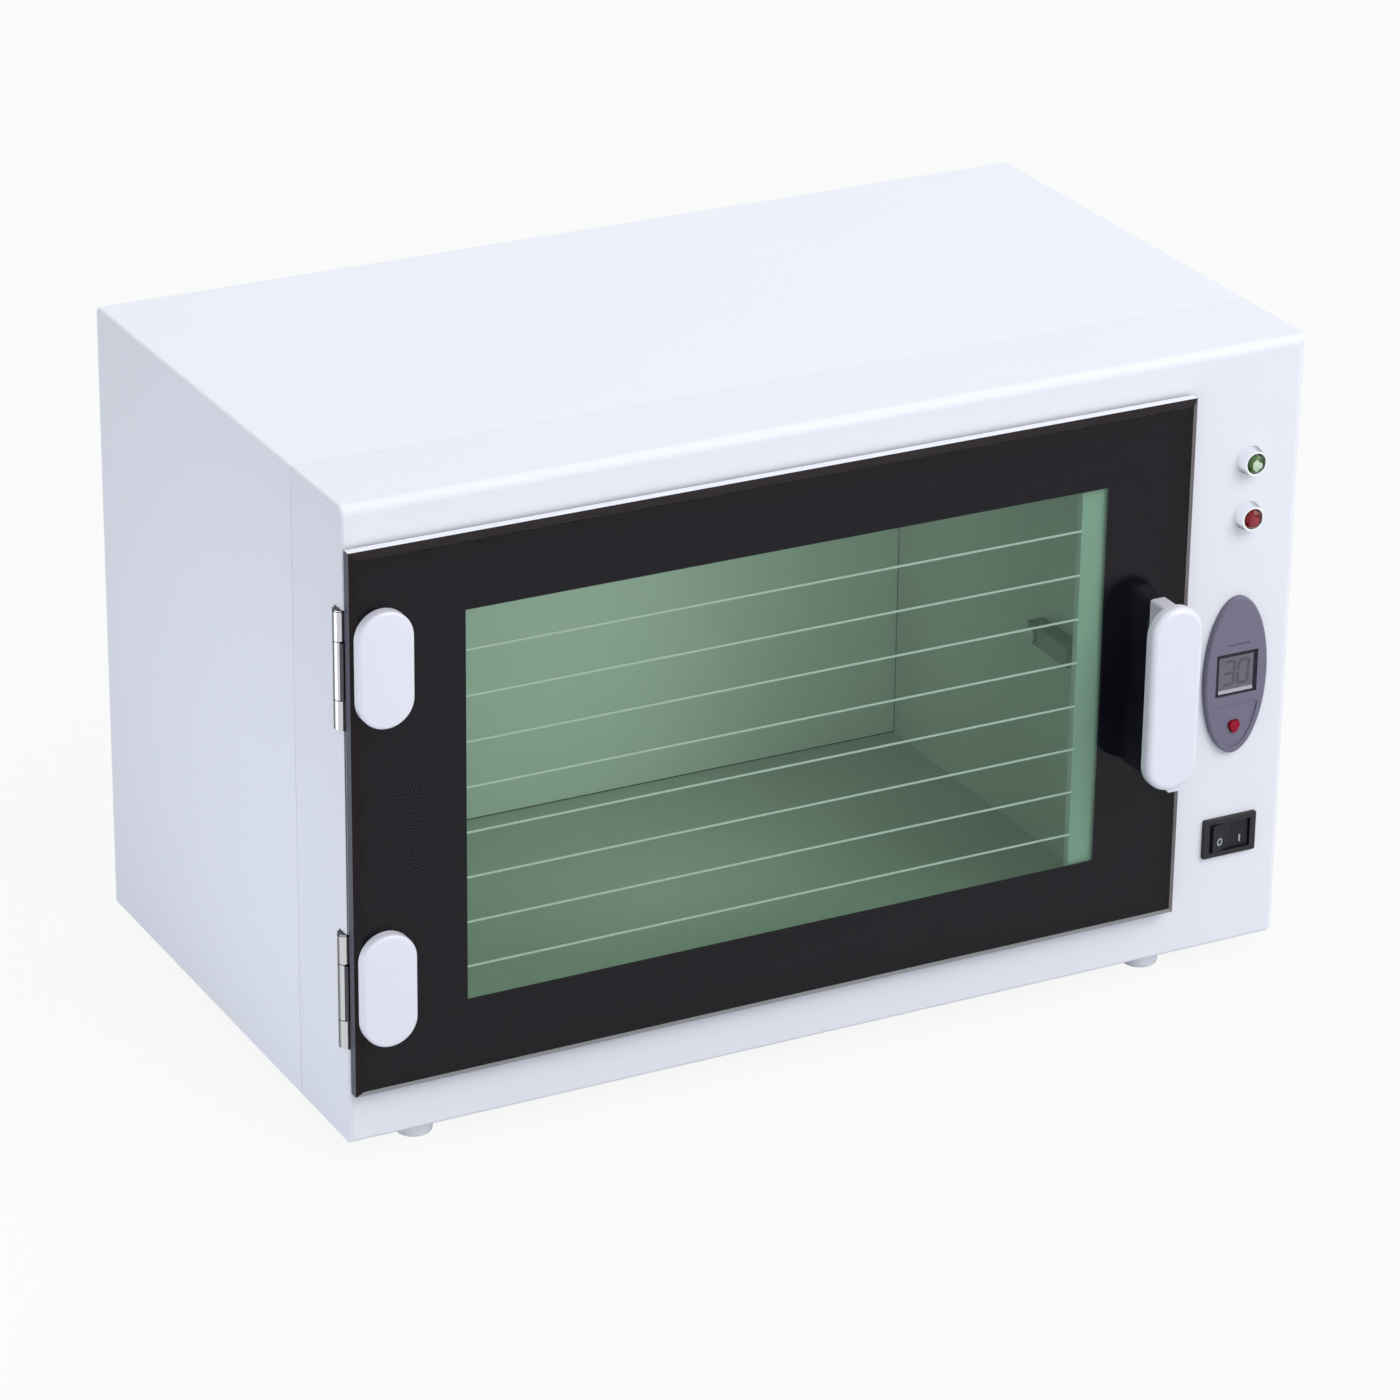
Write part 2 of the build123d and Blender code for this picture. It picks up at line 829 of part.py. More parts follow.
def make_hinge_door_leaves():
    leaves = []
    for height in hinge_heights:
        low, high = knuckle_heights(height)
        leaf_back = print_back + leaf_thickness
        half = hinge_height / 2
        leaf = block(
            leaf_left, pin_x + leaf_width, print_back, leaf_back,
            height - half, height + half,
        )
        knuckle = ring(low + knuckle_gap / 2, high - knuckle_gap / 2)
        neck = block(
            pin_x - neck_width / 2, pin_x + neck_width / 2, leaf_back - leaf_thickness / 2, pin_y,
            low + knuckle_gap / 2, high - knuckle_gap / 2,
        )
        leaf = leaf + knuckle + neck
        leaf -= pin_hole(height)
        for x, z in clamp_screw_places():
            leaf -= rod_y(x, z, clamp_screw_radius + screw_clearance, print_back - past, leaf_back + past)
        leaves.append(leaf)
    return group(leaves)


def make_hinge_body_leaves():
    leaves = []
    for height in hinge_heights:
        low, high = knuckle_heights(height)
        half = hinge_height / 2
        leaf_front = pocket_depth - leaf_thickness
        leaf = block(
            leaf_left, pin_x + leaf_width, leaf_front, pocket_depth,
            height - half, height + half,
        )
        for start, end in ((height - half, low - knuckle_gap / 2), (high + knuckle_gap / 2, height + half)):
            leaf += ring(start, end)
            leaf += block(
                pin_x - neck_width / 2, pin_x + neck_width / 2, pin_y, leaf_front + leaf_thickness / 2,
                start, end,
            )
        leaf -= pin_hole(height)
        for z in leaf_screw_heights(height):
            hole = screw_radius + screw_clearance
            leaf -= rod_y(leaf_screw_x(), z, hole, leaf_front - past, pocket_depth + past)
        leaves.append(leaf)
    return group(leaves)


def make_hinge_pins():
    pins = []
    for height in hinge_heights:
        half = hinge_height / 2
        shaft = rod_z(pin_x, pin_y, pin_radius, height - half, height + half)
        head = rod_z(pin_x, pin_y, pin_head_radius, height + half, height + half + pin_head_height)
        pins.append(shaft + head)
    return group(pins)


def make_hinge_leaf_screws():
    screws = []
    for height in hinge_heights:
        for z in leaf_screw_heights(height):
            seat = pocket_depth - leaf_thickness
            shaft = rod_y(leaf_screw_x(), z, screw_radius - screw_clearance, seat, seat + leaf_screw_length)
            head = rod_y(leaf_screw_x(), z, screw_head_radius, seat - leaf_head_height, seat)
            slot = Box(slot_length, leaf_head_height, slot_width)
            head -= Pos(leaf_screw_x(), seat - leaf_head_height, z) * slot
            screws.append(shaft + head)
    return group(screws)


def make_hinge_clamp_plates():
    plates = []
    for height in cap_heights:
        outline = RectangleRounded(clamp_width, clamp_height, clamp_corner)
        plate = slab(outline, cap_centre_x, height, glass_front - clamp_thickness, glass_front)
        for x, z in clamp_screw_places():
            hole = clamp_screw_radius + screw_clearance
            plate -= rod_y(x, z, hole, glass_front - clamp_thickness - past, glass_front)
        plates.append(plate)
    return group(plates)


def make_hinge_clamp_screws():
    screws = []
    for x, z in clamp_screw_places():
        seat = glass_front - clamp_thickness
        shaft = rod_y(x, z, clamp_screw_radius, seat, print_back + leaf_thickness)
        head = rod_y(x, z, clamp_head_radius, seat - clamp_head_height, seat)
        screws.append(shaft + head)
    return group(screws)


def make_hinge_caps():
    caps = []
    for height in cap_heights:
        front = glass_front - cap_depth
        shell = slab(stadium(cap_width, cap_height), cap_centre_x, height, front, glass_front)
        shell = fillet(shell.faces().sort_by(Axis.Y)[0].edges(), cap_round)
        inner = stadium(cap_width - 2 * cap_wall, cap_height - 2 * cap_wall)
        shell -= slab(inner, cap_centre_x, height, front + cap_wall, glass_front + past)
        caps.append(shell)
    return group(caps)


# Catch, bumpers and sensor
def make_catch_body():
    outline = Rectangle(strike_width, strike_height)
    body = slab(outline, strike_centre_x, strike_centre_height, -catch_proud, catch_length)
    return body - magnet_room()


def magnet_room():
    """Space of the magnet at the catch's front."""
    outline = Rectangle(strike_width - 2 * catch_wall, strike_height - 2 * catch_wall)
    return slab(outline, strike_centre_x, strike_centre_height, -catch_proud, catch_magnet_depth)


def make_door_bumpers():
    bumpers = []
    for x in (glass_left + bumper_inset, glass_right - bumper_inset):
        for z in (glass_bottom + bumper_inset, glass_top - bumper_inset):
            dot = rod_y(x, z, bumper_radius, print_back + screw_clearance, 0)
            dot = fillet(dot.faces().sort_by(Axis.Y)[0].edges(), bumper_round)
            bumpers.append(dot)
    return group(bumpers)


def make_door_sensor():
    half = sensor_height / 2
    body = block(
        chamber_right - sensor_depth, chamber_right, sensor_setback, sensor_setback + sensor_length,
        sensor_centre_height - half, sensor_centre_height + half,
    )
    body = fillet(body.faces().sort_by(Axis.X)[0].edges(), sensor_round)
    return body - rod_x(
        sensor_screw_depth, sensor_centre_height, liner_screw_radius + screw_clearance,
        chamber_right - sensor_depth - past, chamber_right + past,
    )


def make_sensor_screw():
    seat = chamber_right - sensor_depth
    tip = bay_left + sensor_screw_reach
    shaft = rod_x(sensor_screw_depth, sensor_centre_height, liner_screw_radius, seat, tip)
    head = rod_x(sensor_screw_depth, sensor_centre_height, screw_head_radius, seat - sensor_head_height, seat)
    return shaft + head


# Control column
def make_indicator_collars():
    collars = []
    for height in indicator_heights:
        collar = cone_y(column_x, height, collar_tip_radius, collar_base_radius, -collar_reach, 0)
        collar -= rod_y(column_x, height, lens_radius + screw_clearance, -collar_reach - past, 1)
        collars.append(collar)
    return group(collars)


def make_lens(height):
    """Domed pilot lens that stands out of its collar."""
    lens = rod_y(column_x, height, lens_radius, -lens_reach, 0)
    return fillet(lens.faces().sort_by(Axis.Y)[0].edges(), lens_round)


def make_indicator_sockets():
    return group(
        rod_y(column_x, height, socket_radius, 0, socket_length)
        + rod_y(column_x, height, socket_tip_radius, socket_length, socket_length + socket_tip)
        for height in indicator_heights
    )


def make_indicator_nuts():
    nuts = []
    for height in indicator_heights:
        outline = RegularPolygon(nut_radius, 6)
        back = bezel_wall + nut_thickness
        nut = slab(outline, column_x, height, bezel_wall, back)
        nut -= rod_y(column_x, height, socket_radius + screw_clearance, bezel_wall - past, back + past)
        nuts.append(nut)
    return group(nuts)


def make_timer_bezel():
    face = slab(timer_outline(0), timer_x, timer_height, -timer_proud, 0)
    face = fillet(face.faces().sort_by(Axis.Y)[0].edges(), timer_round)
    spigot_back = bezel_wall + timer_spigot_depth
    face += slab(timer_outline(timer_spigot_inset), timer_x, timer_height, -timer_proud / 2, spigot_back)
    inner = timer_outline(timer_spigot_inset + timer_spigot_wall)
    face -= slab(inner, timer_x, timer_height, timer_front_wall - timer_proud, spigot_back + past)
    face -= timer_dish()
    groove = SlotOverall(groove_width, groove_height)
    face -= slab(groove, timer_x, timer_height + groove_rise, -timer_proud - past, groove_depth - timer_proud)
    display_hole = Rectangle(display_width, display_height)
    face -= slab(display_hole, timer_x, display_centre_height, -timer_proud - past, spigot_back)
    hole = button_outline(button_clearance)
    face -= slab(hole, timer_x, button_height_centre, -timer_proud - past, spigot_back)
    return face


def timer_dish():
    """Sunk field round the button, an oval cut off straight below the display."""
    keep = Pos(0, -dish_top_drop - timer_length / 2) * Rectangle(timer_width, timer_length)
    field = timer_outline(dish_inset) & keep
    field = fillet(field.vertices(), dish_corner)
    return slab(field, timer_x, timer_height, -timer_proud - past, dish_depth - timer_proud)


def button_outline(grow):
    """Rounded triangle that points down, grown all round by a clearance."""
    half = button_width / 2
    high = button_height / 2
    corners = Polyline((-half, high), (half, high), (0, -high - button_point), (-half, high))
    triangle = make_face(corners)
    triangle = fillet(triangle.vertices(), button_corner)
    return offset(triangle, grow) if grow else triangle


def make_timer_button():
    front = -timer_proud - button_proud
    wall_back = timer_front_wall - timer_proud
    cap = slab(button_outline(0), timer_x, button_height_centre, front, wall_back + screw_clearance)
    cap = fillet(cap.faces().sort_by(Axis.Y)[0].edges(), button_round)
    flange_front = wall_back + screw_clearance
    flange_back = flange_front + button_flange
    rim = button_outline(button_flange_grow)
    flange = slab(rim, timer_x, button_height_centre, flange_front, flange_back)
    stem = rod_y(timer_x, button_height_centre, button_stem_radius, flange_back, button_stem_end())
    return cap + flange + stem


def button_stem_end():
    """Depth of the stem's end, clear of the key on the board over the whole travel."""
    return board_front - key_height - button_travel - key_gap


def make_display_frame():
    front = display_recess - timer_proud
    back = front + display_depth
    frame = slab(Rectangle(display_width, display_height), timer_x, display_centre_height, front, back)
    inner = Rectangle(display_width - 2 * display_border, display_height - 2 * display_border)
    return frame - slab(inner, timer_x, display_centre_height, front - past, back + past)


def make_display_screen():
    front = display_recess - timer_proud + display_recess
    back = display_recess - timer_proud + display_depth
    inner = Rectangle(display_width - 2 * display_border, display_height - 2 * display_border)
    return slab(inner, timer_x, display_centre_height, front, back)


def make_timer_board():
    outline = RectangleRounded(board_width, board_height, board_corner)
    board = slab(outline, timer_x, timer_height, board_front, board_back())
    for x, z in board_screw_places():
        board -= rod_y(x, z, board_screw_radius + screw_clearance, board_front - past, board_back() + past)
    return board


def board_back():
    """Rear face of the timer board."""
    return board_front + board_thickness


def make_board_parts():
    display_back = display_recess - timer_proud + display_depth
    back = board_back()
    module_outline = Rectangle(display_width - module_inset, display_height - module_inset)
    module = slab(module_outline, timer_x, display_centre_height, display_back, board_front)
    key_outline = Rectangle(key_size, key_size)
    key = slab(key_outline, timer_x, button_height_centre, board_front - key_height, board_front)
    chip = slab(Rectangle(chip_width, chip_height), timer_x, timer_height, back, back + chip_depth)
    plug_offset = board_screw_spacing / 2 - plug_drop
    plug_outline = Rectangle(plug_width, plug_height)
    plug = slab(plug_outline, timer_x, timer_height + plug_offset, back, back + plug_depth)
    relay_outline = Rectangle(relay_size, relay_size)
    relay = slab(relay_outline, timer_x, timer_height - plug_offset, back, back + plug_depth)
    return group([module, key, chip, plug, relay])


def make_timer_board_screws():
    screws = []
    for x, z in board_screw_places():
        shaft = rod_y(x, z, board_screw_radius, board_back() - screw_length, board_back())
        head = rod_y(x, z, board_head_radius, board_back(), board_back() + board_head_height)
        screws.append(shaft + head)
    return group(screws)


# Power switch
def rocker_cavity_back():
    """Depth of the switch's well, clear of the rocker's back corners at full tilt."""
    tilt = math.radians(rocker_tilt)
    return rocker_pivot_y + rocker_back * math.cos(tilt) + rocker_radius * math.sin(tilt) + rocker_gap


def make_switch_frame():
    outline = RectangleRounded(switch_face_width, switch_face_height, switch_corner)
    frame = slab(outline, switch_x, switch_height, -switch_face_thickness, 0)
    frame = fillet(frame.faces().sort_by(Axis.Y)[0].edges(), switch_round)
    body = Rectangle(switch_body_width, switch_body_height)
    frame += slab(body, switch_x, switch_height, -switch_face_thickness / 2, switch_body_depth)
    well = Rectangle(2 * (rocker_radius + rocker_gap), rocker_height + 2 * rocker_gap)
    frame -= slab(well, switch_x, switch_height, -switch_face_thickness - past, rocker_cavity_back())
    half = rocker_height / 2 + rocker_pivot_reach + rocker_gap
    hole = rocker_pivot_radius + pin_fit
    return frame - rod_z(switch_x, rocker_pivot_y, hole, switch_height - half, switch_height + half)


def make_power_rocker():
    slope = math.tan(math.radians(rocker_facet_angle))
    tip = -rocker_valley - rocker_radius * slope
    outline = Polyline(
        (0, -rocker_valley), (rocker_radius, tip), (rocker_radius, rocker_back),
        (-rocker_radius, rocker_back), (-rocker_radius, tip), (0, -rocker_valley),
    )
    prism = Pos(0, 0, -rocker_height / 2) * extrude(make_face(outline), amount=rocker_height)
    rocker = prism & Cylinder(rocker_radius, rocker_height)
    rocker += Cylinder(rocker_pivot_radius, rocker_height + 2 * rocker_pivot_reach)
    return Pos(switch_x, rocker_pivot_y, switch_height) * Rot(0, 0, rocker_tilt) * rocker


def make_switch_terminals():
    blades = []
    for index in (-1, 0, 1):
        x = switch_x + index * terminal_pitch
        half_x = terminal_thickness / 2
        half_z = terminal_width / 2
        blades.append(block(
            x - half_x, x + half_x, switch_body_depth, switch_body_depth + terminal_length,
            switch_height - half_z, switch_height + half_z,
        ))
    return group(blades)


# Lamp
def holder_centre(side):
    """Across place of a lamp holder's middle, side -1 at the left and 1 at the right."""
    end = tube_right if side > 0 else tube_left
    return end + side * (seat_gap + holder_length / 2)


def pin_places():
    """Depth and height of the two pins at each end of the tube."""
    return [(tube_depth + side * tube_pin_spacing / 2, tube_centre_z) for side in (-1, 1)]


def make_uv_tube():
    half = tube_glass_length / 2
    tube = rod_x(tube_depth, tube_centre_z, tube_radius, tube_centre_x - half, tube_centre_x + half)
    bore = half - tube_wall
    inner = tube_radius - tube_wall
    return tube - rod_x(tube_depth, tube_centre_z, inner, tube_centre_x - bore, tube_centre_x + bore)


def make_tube_caps():
    half = tube_glass_length / 2
    left = rod_x(tube_depth, tube_centre_z, tube_radius, tube_left, tube_centre_x - half)
    right = rod_x(tube_depth, tube_centre_z, tube_radius, tube_centre_x + half, tube_right)
    return group([left, right])


def make_tube_pins():
    pins = []
    for y, z in pin_places():
        pins.append(rod_x(y, z, tube_pin_radius, tube_left - tube_pin_length, tube_left))
        pins.append(rod_x(y, z, tube_pin_radius, tube_right, tube_right + tube_pin_length))
    return group(pins)


def make_lamp_holders():
    holders = []
    for side in (-1, 1):
        middle = holder_centre(side)
        low_x = middle - holder_length / 2
        high_x = middle + holder_length / 2
        holder = block(
            low_x, high_x, tube_depth - holder_width / 2, tube_depth + holder_width / 2,
            tube_centre_z - holder_below_tube, chamber_top,
        )
        holder = fillet(holder.edges().filter_by(Axis.X).group_by(Axis.Z)[0], holder_round)
        for y, z in pin_places():
            start = low_x - past if side > 0 else high_x - tube_pin_length - past
            end = low_x + tube_pin_length + past if side > 0 else high_x + past
            holder -= rod_x(y, z, tube_pin_radius + screw_clearance, start, end)
        hole = screw_radius + screw_clearance
        holder -= rod_z(middle, tube_depth, hole, chamber_top - screw_length, chamber_top + past)
        holders.append(holder)
    return group(holders)


def make_holder_screws():
    screws = []
    seat = chamber_top + liner_sheet
    top = seat + screw_head_height
    for side in (-1, 1):
        middle = holder_centre(side)
        shaft = rod_z(middle, tube_depth, screw_radius, seat - screw_length, seat)
        head = rod_z(middle, tube_depth, screw_head_radius, seat, top)
        screws.append(crossed_head(head, Pos(middle, tube_depth, top)) + shaft)
    return group(screws)


def make_reflector():
    angle = math.radians(reflector_wing_angle)
    flat = reflector_flat / 2
    wide = flat + reflector_wing * math.cos(angle)
    drop = reflector_wing * math.sin(angle)
    skin = reflector_thickness / math.cos(angle)
    top = chamber_top
    low = top - reflector_thickness
    outline = Polyline(
        (tube_depth - flat, top), (tube_depth + flat, top), (tube_depth + wide, top - drop),
        (tube_depth + wide, top - drop - skin), (tube_depth + flat, low), (tube_depth - flat, low),
        (tube_depth - wide, top - drop - skin), (tube_depth - wide, top - drop), (tube_depth - flat, top),
    )
    start = tube_left + reflector_end_inset
    face = Plane.YZ.offset(start) * make_face(outline)
    return extrude(face, amount=tube_right - reflector_end_inset - start)


# Electrical bay
def bay_centre():
    """Across middle of the room beside the chamber."""
    return (bay_left + body_width - sheet) / 2


def make_ballast():
    middle = bay_centre()
    half = ballast_width / 2
    start = ballast_setback
    end = ballast_setback + ballast_length
    core = block(middle - half, middle + half, start, end, sheet, sheet + ballast_height)
    core = fillet(core.edges().filter_by(Axis.Y).group_by(Axis.Z)[-1], ballast_round)
    foot_top = sheet + ballast_foot_thickness
    core += block(middle - half, middle + half, start - ballast_foot, end + ballast_foot, sheet, foot_top)
    for y in ballast_screw_depths():
        core -= rod_z(middle, y, screw_radius + screw_clearance, sheet - past, foot_top + past)
    return core


def ballast_screw_depths():
    """Depths of the two screws of the ballast."""
    return (ballast_setback - ballast_foot / 2, ballast_setback + ballast_length + ballast_foot / 2)


def make_ballast_screws():
    screws = []
    seat = sheet + ballast_foot_thickness
    for y in ballast_screw_depths():
        shaft = rod_z(bay_centre(), y, screw_radius, 0, seat)
        head = rod_z(bay_centre(), y, screw_head_radius, seat, seat + screw_head_height)
        screws.append(crossed_head(head, Pos(bay_centre(), y, seat + screw_head_height)) + shaft)
    return group(screws)


def terminal_places():
    """Across places of the ways of the terminal block."""
    pitch = terminal_block_width / terminal_ways
    return [bay_centre() + (index - (terminal_ways - 1) / 2) * pitch for index in range(terminal_ways)]


def make_terminal_block():
    half = terminal_block_width / 2
    back = terminal_block_setback + terminal_block_length
    top = sheet + terminal_block_height
    body = block(bay_centre() - half, bay_centre() + half, terminal_block_setback, back, sheet, top)
    middle = terminal_block_setback + terminal_block_length / 2
    well = screw_head_radius + terminal_well_clearance
    for x in terminal_places():
        body -= rod_z(x, middle, well, top - terminal_well_depth, top + past)
        body -= rod_y(x, sheet + wire_height, wire_radius + screw_clearance,
                      terminal_block_setback - past, terminal_block_setback + wire_grip)
    return body


def make_terminal_screws():
    screws = []
    seat = sheet + terminal_block_height - terminal_well_depth
    middle = terminal_block_setback + terminal_block_length / 2
    for x in terminal_places():
        head = rod_z(x, middle, screw_head_radius, seat, seat + screw_head_height)
        head -= Pos(x, middle, seat + screw_head_height) * Box(screw_head_radius * 3, slot_width, slot_depth)
        screws.append(head)
    return group(screws)


def make_link_wires():
    start = ballast_setback + ballast_length
    end = terminal_block_setback + wire_grip
    return group(rod_y(x, sheet + wire_height, wire_radius, start, end) for x in terminal_places())


# Cord inlet
def make_cord_gland():
    inner_face = body_depth - sheet
    tail_front = body_depth + gland_flange
    neck = rod_y(gland_x, gland_height, gland_neck_radius, inner_face - gland_inside, tail_front)
    flange = rod_y(gland_x, gland_height, gland_head_radius, body_depth, tail_front)
    tail_back = body_depth + gland_reach
    wide = gland_head_radius - gland_tail_inset
    tail = cone_y(gland_x, gland_height, wide, gland_neck_radius, tail_front, tail_back)
    gland = neck + flange + tail
    bore_front = inner_face - gland_inside - past
    return gland - rod_y(gland_x, gland_height, gland_bore_radius, bore_front, tail_back + past)


def make_gland_nut():
    inner_face = body_depth - sheet
    outline = RegularPolygon(gland_nut_radius, 6)
    nut = slab(outline, gland_x, gland_height, inner_face - gland_nut_thickness, inner_face)
    return nut - rod_y(gland_x, gland_height, gland_neck_radius + screw_clearance,
                       inner_face - gland_nut_thickness - past, inner_face + past)


nodes = {
    "front_bezel": make_front_bezel(),
    "body_cover": make_body_cover(),
    "base_pan": make_base_pan(),
    "rear_panel": make_rear_panel(),
    "chamber_liner": make_chamber_liner(),
    "liner_screws": make_liner_screws(),
    "rear_screws": make_rear_screws(),
    "base_screws": make_base_screws(),
    "feet": make_feet(),
    "foot_screws": make_foot_screws(),
    "door_glass": make_door_glass(),
    "door_border": make_door_border(),
    "window_stripes": make_window_stripes(),
    "door_handle": make_door_handle(),
    "handle_screws": make_handle_screws(),
    "strike_plate": make_strike_plate(),
    "hinge_door_leaves": make_hinge_door_leaves(),
    "hinge_body_leaves": make_hinge_body_leaves(),
    "hinge_pins": make_hinge_pins(),
    "hinge_leaf_screws": make_hinge_leaf_screws(),
    "hinge_clamp_plates": make_hinge_clamp_plates(),
    "hinge_clamp_screws": make_hinge_clamp_screws(),
    "hinge_caps": make_hinge_caps(),
    "catch_body": make_catch_body(),
    "catch_magnet": magnet_room(),
    "door_bumpers": make_door_bumpers(),
    "door_sensor": make_door_sensor(),
    "sensor_screw": make_sensor_screw(),
    "indicator_collars": make_indicator_collars(),
    "green_lens": make_lens(indicator_heights[0]),
    "red_lens": make_lens(indicator_heights[1]),
    "indicator_sockets": make_indicator_sockets(),
    "indicator_nuts": make_indicator_nuts(),
    "timer_bezel": make_timer_bezel(),
    "timer_button": make_timer_button(),
    "display_frame": make_display_frame(),
    "display_screen": make_display_screen(),
    "timer_board": make_timer_board(),
    "board_parts": make_board_parts(),
    "timer_board_screws": make_timer_board_screws(),
    "switch_frame": make_switch_frame(),
    "power_rocker": make_power_rocker(),
    "switch_terminals": make_switch_terminals(),
    "uv_tube": make_uv_tube(),
    "tube_caps": make_tube_caps(),
    "tube_pins": make_tube_pins(),
    "lamp_holders": make_lamp_holders(),
    "holder_screws": make_holder_screws(),
    "reflector": make_reflector(),
    "ballast": make_ballast(),
    "ballast_screws": make_ballast_screws(),
    "terminal_block": make_terminal_block(),
    "terminal_screws": make_terminal_screws(),
    "link_wires": make_link_wires(),
    "cord_gland": make_cord_gland(),
    "gland_nut": make_gland_nut(),
}

# The box of the whole model stands centred on the origin, feet on z = 0
model_left = pin_x - barrel_radius
model_front = handle_front
model_back = body_depth + gland_reach
shift = Location((-(model_left + body_width) / 2, -(model_front + model_back) / 2, foot_height))

if __name__ == "__main__":
    os.makedirs("parts", exist_ok=True)
    for name, solid in nodes.items():
        export_step(solid.moved(shift), f"parts/{name}.step")
    print("nodes", len(nodes), "shift", shift.position)
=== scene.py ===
import json
import logging
import math
from dataclasses import dataclass
from enum import Enum

import bmesh
import bpy
import numpy as np
from mathutils import Matrix, Vector


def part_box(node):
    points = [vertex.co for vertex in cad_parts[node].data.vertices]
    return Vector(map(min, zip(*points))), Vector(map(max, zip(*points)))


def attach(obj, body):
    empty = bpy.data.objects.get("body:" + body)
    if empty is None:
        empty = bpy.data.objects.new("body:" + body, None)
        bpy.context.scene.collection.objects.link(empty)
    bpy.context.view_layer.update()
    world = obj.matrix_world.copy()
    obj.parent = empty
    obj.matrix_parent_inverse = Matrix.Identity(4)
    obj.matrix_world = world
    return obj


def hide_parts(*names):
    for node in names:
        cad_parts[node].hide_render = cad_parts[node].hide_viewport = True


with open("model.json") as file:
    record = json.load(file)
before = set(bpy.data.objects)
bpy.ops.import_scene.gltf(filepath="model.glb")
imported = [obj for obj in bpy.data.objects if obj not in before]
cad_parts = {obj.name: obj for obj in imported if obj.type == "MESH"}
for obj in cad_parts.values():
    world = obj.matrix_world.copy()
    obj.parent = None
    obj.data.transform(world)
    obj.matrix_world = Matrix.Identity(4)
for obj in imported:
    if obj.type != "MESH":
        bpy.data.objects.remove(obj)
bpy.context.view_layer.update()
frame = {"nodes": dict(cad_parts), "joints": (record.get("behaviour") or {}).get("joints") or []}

log = logging.getLogger("sterilizer")

Colour = tuple[float, float, float]
Point = tuple[float, float, float]

MM = 0.001
MERGE_REACH = 0.0005 * MM

# Angles in degrees: faces that are joined into one, and edges that still shade smooth
FLAT_ANGLE = 0.3
SHARP_ANGLE = 25.0
FINE_ANGLE = 10.0
PLAIN_ANGLE = 20.0
ROUND_ANGLE = 40.0


class Body(Enum):
    """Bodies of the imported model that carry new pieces."""

    CABINET = "cabinet"
    DOOR = "door"
    ROCKER = "switch_rocker"


def opaque(colour: Colour) -> tuple[float, float, float, float]:
    """Colour with full alpha."""
    return (colour[0], colour[1], colour[2], 1.0)


def shaded(colour: Colour, share: float) -> Colour:
    """Colour made darker or paler by a share, kept within 0 and 1."""
    return tuple(min(1.0, max(0.0, channel * (1.0 + share))) for channel in colour)


